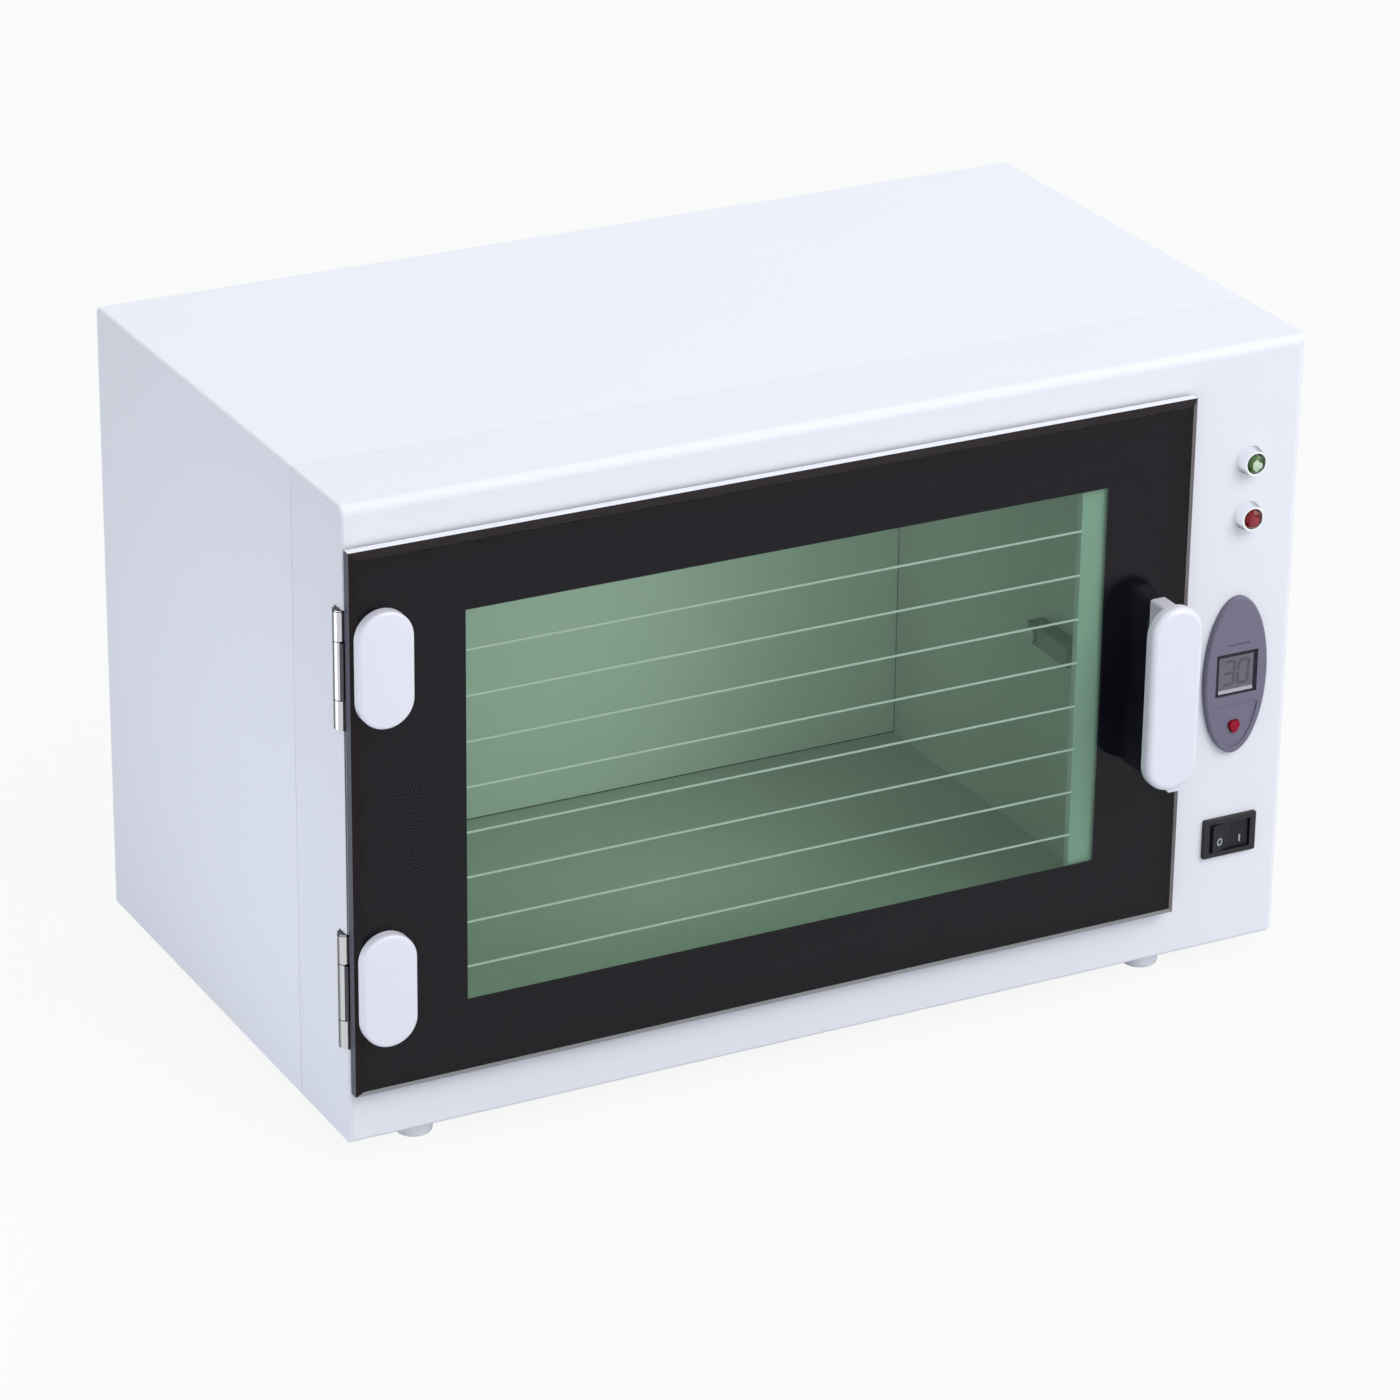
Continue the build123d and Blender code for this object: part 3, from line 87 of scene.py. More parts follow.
# Shader graphs
class Graph:
    """Node tree of one material or of the world.

    The methods from place to principled add nodes and return the socket of their result.
    """

    def __init__(self, owner: bpy.types.Material | bpy.types.World) -> None:
        """Take over the tree of a material or of the world, and empty it."""
        owner.use_nodes = True
        self.owner = owner
        self.tree = owner.node_tree
        self.tree.nodes.clear()

    @classmethod
    def begin(cls, name: str) -> "Graph":
        """Graph of a new, empty material."""
        return cls(bpy.data.materials.new(name))

    def add(self, kind: str, **values: object) -> bpy.types.Node:
        """Add a node and set or link its inputs.

        Args:
            kind: node type.
            values: inputs by name, with underscores for spaces; a socket is linked, anything else is set.

        Returns:
            The new node.
        """
        node = self.tree.nodes.new(kind)
        for key, value in values.items():
            self.feed(node.inputs[key.replace("_", " ")], value)
        return node

    def feed(self, socket: bpy.types.NodeSocket, value: object) -> None:
        """Link a socket to another one, or set its value."""
        if isinstance(value, bpy.types.NodeSocket):
            self.tree.links.new(value, socket)
        else:
            socket.default_value = value

    def place(self, stretch: Point = (1.0, 1.0, 1.0)) -> bpy.types.NodeSocket:
        """Object coordinates, stretched by a factor along each of x, y and z."""
        coordinates = self.add("ShaderNodeTexCoord").outputs["Object"]
        if stretch == (1.0, 1.0, 1.0):
            return coordinates
        return self.add("ShaderNodeMapping", Vector=coordinates, Scale=stretch).outputs["Vector"]

    def noise(self, size: float, detail: float, stretch: Point = (1.0, 1.0, 1.0)) -> bpy.types.NodeSocket:
        """Soft noise whose features measure about a size in mm, with finer layers as its detail."""
        node = self.add("ShaderNodeTexNoise", Vector=self.place(stretch), Scale=1.0 / (size * MM), Detail=detail)
        return node.outputs["Fac"]

    def range(self, value: bpy.types.NodeSocket, low: float, high: float) -> bpy.types.NodeSocket:
        """Map the middle half of a noise value, 0.25 to 0.75, onto the range from low to high."""
        return self.ramp(value, 0.25, 0.75, To_Min=low, To_Max=high)

    def ramp(self, value: bpy.types.NodeSocket, first: float, last: float, **ends: float) -> bpy.types.NodeSocket:
        """Map a value from one range to another, To_Min to To_Max or else 0 to 1, held beyond its ends."""
        return self.add("ShaderNodeMapRange", Value=value, From_Min=first, From_Max=last, **ends).outputs["Result"]

    def blend(self, factor: bpy.types.NodeSocket, first: Colour, second: Colour) -> bpy.types.NodeSocket:
        """Colour between two: a factor of 0 gives the first and 1 the second."""
        node = self.add("ShaderNodeMix")
        node.data_type = "RGBA"
        for place, value in ((0, factor), (6, opaque(first)), (7, opaque(second))):
            self.feed(node.inputs[place], value)
        return node.outputs[2]

    def mix(self, *sockets: bpy.types.NodeSocket) -> bpy.types.NodeSocket:
        """Shader between two: takes the factor, the shader at 0 and the shader at 1."""
        node = self.add("ShaderNodeMixShader")
        for place, socket in zip(node.inputs, sockets):
            self.feed(place, socket)
        return node.outputs["Shader"]

    def math(self, operation: str, *values: object) -> bpy.types.NodeSocket:
        """Result of a sum on two values."""
        node = self.add("ShaderNodeMath")
        node.operation = operation
        for place, value in zip(node.inputs, values):
            self.feed(place, value)
        return node.outputs["Value"]

    def rays(self, *kinds: str) -> bpy.types.NodeSocket:
        """Value of 1 for rays of any of the given kinds, which are names of the light path's outputs."""
        path = self.add("ShaderNodeLightPath").outputs
        total = path[kinds[0]]
        for kind in kinds[1:]:
            total = self.math("MAXIMUM", total, path[kind])
        return total

    def bump(self, height: bpy.types.NodeSocket, depth: float) -> bpy.types.NodeSocket:
        """Normal of a surface whose height follows a value, where 1 stands for a depth in mm."""
        return self.add("ShaderNodeBump", Height=height, Distance=depth * MM, Strength=1.0).outputs["Normal"]

    def principled(self, **values: object) -> bpy.types.NodeSocket:
        """Principled shader with the given inputs, named as for add."""
        return self.add("ShaderNodeBsdfPrincipled", **values).outputs["BSDF"]

    def finish(self, surface: bpy.types.NodeSocket) -> bpy.types.Material:
        """Close the graph with the shader that it shows, and return its material."""
        self.add("ShaderNodeOutputMaterial", Surface=surface)
        return self.owner


# Finishes, with their lengths in mm
@dataclass(frozen=True)
class SolidFinish:
    """Painted, moulded or rubber surface with fine grain, slight mottling and uneven gloss."""

    name: str
    colour: Colour
    roughness: float = 0.35
    specular: float = 0.5
    grain: float = 1.2
    depth: float = 0.004
    mottle: float = 0.015
    patch: float = 60.0
    unevenness: float = 0.04
    coat: float = 0.0
    coat_roughness: float = 0.12
    gloss_spread: float = 9.0

    def build(self) -> bpy.types.Material:
        """Make the material: grain bumps the normal, wide noise mottles the colour and the gloss."""
        graph = Graph.begin(self.name)
        wide = graph.noise(self.patch, 2.0)
        colour = graph.blend(wide, shaded(self.colour, -self.mottle), shaded(self.colour, self.mottle))
        gloss = graph.range(
            graph.noise(self.grain * self.gloss_spread, 2.0),
            self.roughness - self.unevenness, self.roughness + self.unevenness,
        )
        normal = graph.bump(graph.noise(self.grain, 2.0), self.depth)
        return graph.finish(graph.principled(
            Base_Color=colour, Roughness=gloss, Normal=normal, Specular_IOR_Level=self.specular,
            Coat_Weight=self.coat, Coat_Roughness=self.coat_roughness,
        ))


class Grain(Enum):
    """Way in which a metal is worked."""

    PLATED = "plated"
    BRUSHED = "brushed"
    ROLLED = "rolled"


@dataclass(frozen=True)
class MetalFinish:
    """Bare or plated metal, with brush lines or soft rolling marks, and where asked a painted dark reflection at
    its rims.
    """

    name: str
    colour: Colour
    roughness: float = 0.25
    grain: Grain = Grain.PLATED
    line: float = 0.25
    depth: float = 0.003
    rim: float = 0.0
    rim_start: float = 0.45
    rim_width: float = 0.3
    stain: float = 14.0
    stain_range: tuple[float, float] = (-0.07, 0.03)
    gloss_range: tuple[float, float] = (0.8, 1.25)

    def build(self) -> bpy.types.Material:
        """Make the material: noise drawn out along x for brush lines, round for plating, and a painted dark
        reflection at its rims, where the surface turns away from the view.
        """
        graph = Graph.begin(self.name)
        stretch = {
            Grain.PLATED: (1.0, 1.0, 1.0),
            Grain.BRUSHED: (0.06, 1.0, 1.0),
            Grain.ROLLED: (0.03, 1.0, 1.0),
        }[self.grain]
        lines = graph.noise(self.line, 3.0, stretch)
        stain = graph.noise(self.stain, 3.0)
        colour = graph.blend(stain, *(shaded(self.colour, share) for share in self.stain_range))
        # Painted reflection: the colour darkens where the surface turns away from the view, standing in for dark
        # surroundings mirrored at the rims
        if self.rim > 0.0:
            facing = graph.add("ShaderNodeLayerWeight", Blend=0.5).outputs["Facing"]
            edge = graph.ramp(facing, self.rim_start, self.rim_start + self.rim_width)
            colour = graph.blend(edge, self.colour, shaded(self.colour, -self.rim))
        gloss = graph.range(lines, *(self.roughness * share for share in self.gloss_range))
        normal = graph.bump(lines, self.depth)
        return graph.finish(graph.principled(Base_Color=colour, Roughness=gloss, Normal=normal, Metallic=1.0))


@dataclass(frozen=True)
class GlassFinish:
    """Clear or tinted glass that lets the lamps' light through."""

    name: str
    tint: Colour
    roughness: float = 0.02
    ior: float = 1.45
    ripple: float = 90.0
    mottle: float = 0.012
    depth: float = 0.002

    def build(self) -> bpy.types.Material:
        """Make the material: glass for sight and gloss, a tinted clear film for light on its way through."""
        graph = Graph.begin(self.name)
        wide = graph.noise(self.ripple, 1.0)
        colour = graph.blend(wide, shaded(self.tint, -self.mottle), shaded(self.tint, self.mottle))
        normal = graph.bump(wide, self.depth)
        glass = graph.principled(
            Base_Color=colour, Normal=normal, Roughness=self.roughness, IOR=self.ior, Transmission_Weight=1.0
        )
        root = tuple(math.sqrt(channel) for channel in self.tint)
        clear = graph.add("ShaderNodeBsdfTransparent", Color=opaque(root))
        passing = graph.rays("Is Shadow Ray", "Is Diffuse Ray")
        return graph.finish(graph.mix(passing, glass, clear.outputs["BSDF"]))


@dataclass(frozen=True)
class LensFinish:
    """Coloured clear plastic of a pilot lens, with a milky share that carries its colour."""

    name: str
    colour: Colour
    clear: float = 0.55
    roughness: float = 0.05
    ior: float = 1.5
    specular: float = 0.25
    coat: float = 0.15
    coat_roughness: float = 0.04
    streak: float = 1.5
    streak_range: tuple[float, float] = (-0.25, 0.35)
    depth: float = 0.01

    def build(self) -> bpy.types.Material:
        """Make the material: part glass, part body colour, with faint streaks from moulding."""
        graph = Graph.begin(self.name)
        streaks = graph.noise(self.streak, 2.0, (1.0, 0.3, 1.0))
        colour = graph.blend(streaks, *(shaded(self.colour, share) for share in self.streak_range))
        normal = graph.bump(streaks, self.depth)
        return graph.finish(graph.principled(
            Base_Color=colour, Normal=normal, Roughness=self.roughness, IOR=self.ior,
            Transmission_Weight=self.clear, Coat_Weight=self.coat, Coat_Roughness=self.coat_roughness,
            Specular_IOR_Level=self.specular,
        ))


@dataclass(frozen=True)
class CircuitFinish:
    """Varnished circuit board with paler tracks."""

    name: str
    colour: Colour
    track: Colour
    cell: float = 3.0
    track_edge: tuple[float, float] = (0.03, 0.09)
    track_height: float = 0.02
    roughness: float = 0.35

    def build(self) -> bpy.types.Material:
        """Make the material: tracks follow the edges of a cell pattern."""
        graph = Graph.begin(self.name)
        cells = graph.add("ShaderNodeTexVoronoi", Vector=graph.place(), Scale=1.0 / (self.cell * MM))
        cells.feature = "DISTANCE_TO_EDGE"
        edge = graph.ramp(cells.outputs["Distance"], *self.track_edge)
        colour = graph.blend(edge, self.track, self.colour)
        normal = graph.bump(edge, -self.track_height)
        return graph.finish(graph.principled(Base_Color=colour, Normal=normal, Roughness=self.roughness))


Finish = SolidFinish | MetalFinish | GlassFinish | LensFinish | CircuitFinish

MOULDED_WHITE = SolidFinish("moulded_white", (0.83, 0.845, 0.893), 0.5, 0.15, grain=1.6, depth=0.002, mottle=0.006,
                            unevenness=0.02)
POWDER_WHITE = SolidFinish("powder_white", (0.83, 0.854, 0.897), 0.45, 0.35, grain=0.9, depth=0.003, mottle=0.006,
                           unevenness=0.02)
# Painted shade: a dark grey for the hinge pockets of the white front frame, where shade falls
POCKET_PAINTED_SHADE = SolidFinish("bare_moulding", (0.16, 0.17, 0.20), 0.55, 0.3, grain=0.8, depth=0.004, mottle=0.05)
# Painted shade: a darker copy of the lining's white for its right wall, which is the same sheet
RIGHT_WALL_PAINTED_SHADE = SolidFinish("liner_side", (0.69, 0.72, 0.69), 0.42, grain=0.9, depth=0.006)
LINER_FLOOR = SolidFinish("liner_floor", (0.55, 0.58, 0.55), 0.42, grain=0.9, depth=0.004)
SEAM_SHADE = SolidFinish("seam_shade", (0.10, 0.11, 0.11), 0.6, 0.2, grain=0.4, depth=0.002)
SENSOR_GREY = SolidFinish("sensor_grey", (0.33, 0.39, 0.36), 0.38, 0.4, grain=0.3, depth=0.004, mottle=0.05,
                          patch=10.0)
LINER_WHITE = SolidFinish("liner_white", (0.80, 0.83, 0.80), 0.42, grain=0.9, depth=0.006)
PANE_GLASS = GlassFinish("pane_glass", (0.475, 0.635, 0.515), 0.012, 1.30)
# Painted light: the pane's top side, as bright as the lit front
TOP_EDGE_PAINTED_LIGHT = SolidFinish("ground_glass", (0.84, 0.86, 0.91), 0.35, 0.5, grain=0.5, depth=0.002)
# Painted shade: the pane's right side and right bevel
RIGHT_EDGE_PAINTED_SHADE = SolidFinish("cut_glass", (0.105, 0.088, 0.094), 0.4, 0.3, grain=0.8, depth=0.002)
# Painted shade: the pane's left and bottom sides
EDGE_PAINTED_SHADE = SolidFinish("edge_glass", (0.035, 0.040, 0.070), 0.40, 0.3, grain=0.5, depth=0.002)
# Painted reflection: the pane's bottom bevel, pale where it catches the light
BEVEL_PAINTED_REFLECTION = SolidFinish("pale_bevel", (0.27, 0.275, 0.28), 0.35, 0.4, grain=0.9, depth=0.001, mottle=0.15,
                         patch=40.0)
BEVEL_GLASS = SolidFinish("bevel_glass", (0.014, 0.010, 0.012), 0.5, 0.12, grain=0.9, depth=0.001)
BLACK_INK = SolidFinish("black_ink", (0.006, 0.003, 0.011), 0.7, 0.05, grain=0.4, depth=0.0, mottle=0.03)
PALE_INK = SolidFinish("pale_ink", (0.72, 0.75, 0.72), 0.5, 0.2, grain=0.3, depth=0.002, mottle=0.06, patch=8.0)
LILAC_WHITE = SolidFinish("lilac_white", (0.81, 0.81, 0.895), 0.32, grain=1.0, depth=0.001, mottle=0.005,
                          unevenness=0.01, coat=0.2)
# Painted dark reflection along the hinge barrels' rims
HINGE_CHROME = MetalFinish("hinge_chrome", (0.62, 0.62, 0.65), 0.20, Grain.PLATED, rim=0.88, rim_start=0.25)
SCREW_STEEL = MetalFinish("screw_steel", (0.62, 0.62, 0.64), 0.32, Grain.BRUSHED)
FOOT_RUBBER = SolidFinish("foot_rubber", (0.93, 0.94, 0.97), 0.75, 0.25, grain=0.5, depth=0.02)
BUMPER_RUBBER = SolidFinish("bumper_rubber", (0.60, 0.62, 0.62), 0.55, 0.35, grain=0.4, depth=0.01)
BLACK_NYLON = SolidFinish("black_nylon", (0.014, 0.013, 0.017), 0.42, 0.35, grain=0.25, depth=0.006, mottle=0.1,
                          patch=12.0)
ROCKER_BLACK = SolidFinish("rocker_black", (0.010, 0.009, 0.014), 0.42, 0.25, grain=0.3, depth=0.004, mottle=0.08,
                           patch=8.0)
FERRITE = SolidFinish("ferrite", (0.07, 0.07, 0.08), 0.7, 0.3, grain=0.2, depth=0.02, mottle=0.15)
# Painted dark reflection along the collars' rims
COLLAR_CHROME = MetalFinish("collar_chrome", (0.92, 0.93, 0.96), 0.10, Grain.PLATED, depth=0.001, rim=0.7)
NYLON_NATURAL = SolidFinish("nylon_natural", (0.70, 0.68, 0.58), 0.5, grain=0.4, depth=0.006)
GREEN_LENS = LensFinish("green_lens", (0.08, 0.20, 0.05), 0.3)
# Painted highlight and painted shade: lit and shaded copies of the green lens
GREEN_PAINTED_HIGHLIGHT = LensFinish("green_bright", (0.60, 0.76, 0.55), 0.1)
GREEN_PAINTED_SHADE = LensFinish("green_dark", (0.010, 0.035, 0.008), 0.1)
RED_LENS = LensFinish("red_lens", (0.22, 0.003, 0.010), 0.1)
# Painted highlight and painted shade: lit and shaded copies of the red lens
RED_PAINTED_HIGHLIGHT = LensFinish("red_bright", (0.32, 0.03, 0.045), 0.1)
RED_PAINTED_SHADE = LensFinish("red_dark", (0.05, 0.001, 0.004), 0.1)
TIMER_GREY = SolidFinish("timer_grey", (0.164, 0.155, 0.220), 0.45, 0.4, grain=0.35, depth=0.006, mottle=0.04,
                         patch=18.0)
KEY_RED = SolidFinish("key_red", (0.30, 0.001, 0.018), 0.45, 0.2, grain=0.5, depth=0.004, mottle=0.08, patch=3.0)
SURROUND_BLACK = SolidFinish("surround_black", (0.018, 0.016, 0.024), 0.50, 0.2, grain=0.4, depth=0.003)
SCREEN_GREY = SolidFinish("screen_grey", (0.103, 0.100, 0.132), 0.18, 0.5, grain=0.3, depth=0.001, mottle=0.10,
                          patch=6.0, coat=0.5)
SEGMENT_DARK = SolidFinish("segment_dark", (0.088, 0.086, 0.112), 0.3, 0.3, grain=0.3, depth=0.001)
# Painted light: a pale copy of the black surround for its lit lower inner side
SILL_PAINTED_LIGHT = SolidFinish("sill_pale", (0.42, 0.42, 0.46), 0.22, 0.5, grain=0.4, depth=0.002, coat=0.4)
MARK_PALE = SolidFinish("mark_pale", (0.34, 0.37, 0.41), 0.4, 0.4, grain=0.2, depth=0.003, mottle=0.10, patch=1.5)
CIRCUIT_GREEN = CircuitFinish("circuit_green", (0.02, 0.13, 0.05), (0.08, 0.27, 0.11))
CHIP_BLACK = SolidFinish("chip_black", (0.020, 0.020, 0.022), 0.6, 0.3, grain=0.2, depth=0.010)
CONTACT_BRASS = MetalFinish("contact_brass", (0.72, 0.53, 0.24), 0.28, Grain.BRUSHED)
LAMP_QUARTZ = GlassFinish("lamp_quartz", (0.90, 0.94, 0.97), 0.01, 1.3)
LAMP_CAP = MetalFinish("lamp_cap", (0.74, 0.74, 0.76), 0.30, Grain.BRUSHED)
HOLDER_WHITE = SolidFinish("holder_white", (0.80, 0.80, 0.78), 0.45, grain=0.5, depth=0.006)
MIRROR_SHEET = MetalFinish("mirror_sheet", (0.82, 0.83, 0.85), 0.16, Grain.ROLLED, line=0.5)
BALLAST_ENAMEL = SolidFinish("ballast_enamel", (0.62, 0.62, 0.60), 0.4, grain=1.0, depth=0.010)
WIRE_BLUE = SolidFinish("wire_blue", (0.03, 0.06, 0.30), 0.45, grain=0.5, depth=0.006)


PLAIN_NODES = (
    (POWDER_WHITE, "body_cover base_pan rear_panel"),
    (FOOT_RUBBER, "feet"),
    (HINGE_CHROME, "hinge_door_leaves hinge_body_leaves hinge_pins hinge_clamp_plates"),
    (LILAC_WHITE, "door_handle"),
    (BUMPER_RUBBER, "door_bumpers"),
    (FERRITE, "catch_magnet"),
    (COLLAR_CHROME, "indicator_collars"),
    (BLACK_NYLON, "catch_body indicator_sockets switch_frame cord_gland gland_nut"),
    (NYLON_NATURAL, "indicator_nuts terminal_block"),
    (TIMER_GREY, "timer_bezel"),
    (KEY_RED, "timer_button"),
    (SCREEN_GREY, "display_screen"),
    (CIRCUIT_GREEN, "timer_board"),
    (CHIP_BLACK, "board_parts"),
    (ROCKER_BLACK, "power_rocker"),
    (CONTACT_BRASS, "switch_terminals tube_pins"),
    (LAMP_QUARTZ, "uv_tube"),
    (LAMP_CAP, "tube_caps"),
    (HOLDER_WHITE, "lamp_holders"),
    (MIRROR_SHEET, "reflector"),
    (SENSOR_GREY, "door_sensor"),
    (BALLAST_ENAMEL, "ballast"),
    (WIRE_BLUE, "link_wires"),
    (SCREW_STEEL, "strike_plate rear_screws base_screws foot_screws liner_screws hinge_leaf_screws "
                  "hinge_clamp_screws handle_screws timer_board_screws holder_screws sensor_screw "
                  "ballast_screws terminal_screws"),
)


class Wardrobe:
    """Materials made once each and handed out by their finish."""

    def __init__(self) -> None:
        """Start with no material made."""
        self.made: dict[str, bpy.types.Material] = {}

    def material(self, finish: Finish) -> bpy.types.Material:
        """The one material of a finish, made when it's first asked for."""
        if finish.name not in self.made:
            self.made[finish.name] = finish.build()
        return self.made[finish.name]

    def dress(self) -> None:
        """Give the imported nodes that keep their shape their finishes."""
        for finish, names in PLAIN_NODES:
            for name in names.split():
                for place in frame["nodes"][name].material_slots:
                    place.material = self.material(finish)
                log.info("dressed %s in %s", name, finish.name)

    def fit(self, piece: bpy.types.Object, slot: str, body: Body, *finishes: Finish) -> None:
        """Give a new piece its finishes and the body that it rides on.

        Args:
            piece: object in place.
            slot: not used.
            body: body that carries it.
            finishes: finish of all its faces, and then those that some faces are painted in.
        """
        piece.data.materials.clear()
        for finish in finishes:
            piece.data.materials.append(self.material(finish))
        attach(piece, body.value)
        log.info("built %s with %d faces", piece.name, len(piece.data.polygons))


# Surfaces
@dataclass(frozen=True)
class Outline:
    """Closed outline in the front plane, as points and outward normals, both of shape (n, 2).

    It runs anticlockwise, seen with x to the right and z up.
    """

    points: np.ndarray
    normals: np.ndarray

    @classmethod
    def stadium(cls, width: float, height: float, steps: int) -> "Outline":
        """Upright slot: two half circles of half the width, each of so many steps, joined by straight sides."""
        radius = width / 2
        rise = height / 2 - radius
        turn = np.linspace(0, math.pi, steps + 1)
        angles = np.concatenate([turn, turn + math.pi])
        lift = np.repeat([rise, -rise], steps + 1)
        normals = np.stack([np.cos(angles), np.sin(angles)], axis=1)
        points = normals * radius + np.stack([np.zeros_like(lift), lift], axis=1)
        return cls(points, normals)

    @classmethod
    def box(cls, width: float, height: float, corner: float, steps: int) -> "Outline":
        """Rectangle with round corners: four quarter circles, each of so many steps, about their centres."""
        turn = np.linspace(0, math.pi / 2, steps + 1)
        angles = np.concatenate([turn + quarter * math.pi / 2 for quarter in range(4)])
        normals = np.stack([np.cos(angles), np.sin(angles)], axis=1)
        signs = np.repeat(np.array([[1, 1], [-1, 1], [-1, -1], [1, -1]], float), steps + 1, axis=0)
        centres = signs * np.array([width / 2 - corner, height / 2 - corner])
        return cls(centres + normals * corner, normals)

    def rings(self, profile: np.ndarray, x: float, z: float) -> np.ndarray:
        """Rings of shape (rows, n, 3): the outline drawn in by each row's inset, at the row's depth along y.

        The outline's middle lies at x and z.
        """
        flat = self.points[None] - profile[:, 0, None, None] * self.normals[None]
        depth = np.broadcast_to(profile[:, 1, None], flat.shape[:2])
        return np.stack([flat[..., 0] + x, depth, flat[..., 1] + z], axis=-1)


def arc(centre: tuple[float, float], radius: float, start: float, end: float, steps: int) -> np.ndarray:
    """Rows of inset and depth along an arc about a centre, its angles in degrees, in so many points."""
    angles = np.radians(np.linspace(start, end, steps))
    return np.stack([centre[0] + radius * np.cos(angles), centre[1] + radius * np.sin(angles)], axis=1)


def prism(flat: np.ndarray, ends: tuple[float, float], axis: int) -> np.ndarray:
    """Two equal rings, of shape (2, n, 3): a flat outline at both ends along an axis, 0 for x to 2 for z.

    The outline's points lie in the other two axes, in their order.
    """
    return np.stack([np.insert(flat, axis, end, axis=1) for end in ends])


def add_object(name: str, data: bpy.types.ID) -> bpy.types.Object:
    """New piece, lamp or camera, linked at the origin; a mesh has its place in its points."""
    piece = bpy.data.objects.new(name, data)
    bpy.context.scene.collection.objects.link(piece)
    return piece


def close_mesh(mesh: bpy.types.Mesh, smooth_angle: float, flat_angle: float = 0.0) -> None:
    """Merge doubles, turn faces outwards and smooth all edges flatter than an angle.

    Args:
        mesh: mesh to finish.
        smooth_angle: angle in degrees, 0 for flat facets.
        flat_angle: angle in degrees under which faces are joined into one, 0 for none.
    """
    work = bmesh.new()
    work.from_mesh(mesh)
    bmesh.ops.remove_doubles(work, verts=work.verts, dist=MERGE_REACH)
    if flat_angle > 0:
        bmesh.ops.dissolve_limit(work, angle_limit=math.radians(flat_angle), verts=work.verts, edges=work.edges)
    bmesh.ops.recalc_face_normals(work, faces=work.faces)
    work.to_mesh(mesh)
    work.free()
    if smooth_angle > 0:
        mesh.shade_smooth()
        mesh.set_sharp_from_angle(angle=math.radians(smooth_angle))


def ring_piece(name: str, parts: list[np.ndarray], closed: bool, smooth_angle: float) -> bpy.types.Object:
    """Piece of one or more stacks of rings; each face joins neighbours on a ring and on the next ring.

    Args:
        name: name of the piece.
        parts: stacks of shape (rings, n, 3).
        closed: true where the last ring joins the first, false where both ends get a flat cap.
        smooth_angle: angle for smooth shading in degrees.

    Returns:
        The piece.
    """
    points: list[np.ndarray] = []
    faces: list[list[int]] = []
    start = 0
    for rings in parts:
        rows, count = rings.shape[:2]
        index = start + np.arange(rows * count).reshape(rows, count)
        lower = index if closed else index[:-1]
        upper = np.roll(index, -1, axis=0) if closed else index[1:]
        quads = np.stack(
            [lower, np.roll(lower, -1, axis=1), np.roll(upper, -1, axis=1), upper], axis=-1
        ).reshape(-1, 4)
        faces += quads.tolist()
        if not closed:
            faces += [index[0].tolist(), index[-1].tolist()]
        points.append(rings.reshape(-1, 3))
        start += rows * count
    mesh = bpy.data.meshes.new(name)
    mesh.from_pydata(np.concatenate(points).tolist(), [], faces)
    close_mesh(mesh, smooth_angle)
    return add_object(name, mesh)


@dataclass(frozen=True)
class FaceTable:
    """Centres and normals of a mesh's faces, both of shape (n, 3), and their areas."""

    centres: np.ndarray
    normals: np.ndarray
    areas: np.ndarray

    @classmethod
    def read(cls, mesh: bpy.types.Mesh) -> "FaceTable":
        """Table of a mesh, with its faces in the mesh's order."""
        count = len(mesh.polygons)
        centres = np.zeros(count * 3, np.float32)
        normals = np.zeros(count * 3, np.float32)
        areas = np.zeros(count, np.float32)
        mesh.polygons.foreach_get("center", centres)
        mesh.polygons.foreach_get("normal", normals)
        mesh.polygons.foreach_get("area", areas)
        return cls(centres.reshape(-1, 3), normals.reshape(-1, 3), areas)

    def widest(self, chosen: np.ndarray) -> np.ndarray:
        """Centre, of shape (3,), of the largest of the chosen faces."""
        return self.centres[chosen][self.areas[chosen].argmax()]

    def paint(self, mesh: bpy.types.Mesh, chosen: np.ndarray, place: int) -> None:
        """Give the chosen faces of the table's mesh the material at a place in the mesh's list."""
        index = np.zeros(len(mesh.polygons), np.int32)
        mesh.polygons.foreach_get("material_index", index)
        index[chosen] = place
        mesh.polygons.foreach_set("material_index", index)
        mesh.update()


def copied_node(node: str, name: str) -> bpy.types.Object:
    """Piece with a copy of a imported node's mesh: triangles merged, and flat ones joined to shade flat."""
    mesh = frame["nodes"][node].data.copy()
    mesh.name = name
    attribute = mesh.attributes.get("custom_normal")
    if attribute is not None:
        mesh.attributes.remove(attribute)
    close_mesh(mesh, SHARP_ANGLE, FLAT_ANGLE)
    piece = add_object(name, mesh)
    weighted = piece.modifiers.new("weighted_normals", "WEIGHTED_NORMAL")
    weighted.mode = "FACE_AREA"
    weighted.weight = 100
    weighted.keep_sharp = True
    return piece


# Sub-assemblies
@dataclass
class FrontFrame:
    """White front frame round the door, with its hinge pockets."""

    wardrobe: Wardrobe
    pocket_edge: float = 0.3 * MM
    pocket_margin: float = 1.0 * MM
    pocket_depth: float = 0.5 * MM

    def build(self) -> None:
        """Copy of the front frame whose hinge pockets are painted dark as painted shade: faces behind the front,
        over a leaf.
        """
        piece = copied_node("front_bezel", "front_frame")
        self.wardrobe.fit(piece, "white_moulding", Body.CABINET, MOULDED_WHITE, POCKET_PAINTED_SHADE)
        faces = FaceTable.read(piece.data)
        low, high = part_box("hinge_body_leaves")
        front = faces.centres[:, 1].min()
        left = faces.centres[:, 0].min()
        x, y, z = faces.centres.T
        margin = self.pocket_margin
        near = (x > left + self.pocket_edge) & (x < high.x + margin)
        level = (z > low.z - margin) & (z < high.z + margin)
        sunk = (y > front + self.pocket_edge) & (y < high.y + self.pocket_depth)
        # Painted shade in the hinge pockets
        faces.paint(piece.data, near & level & sunk, 1)
        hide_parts("front_bezel")


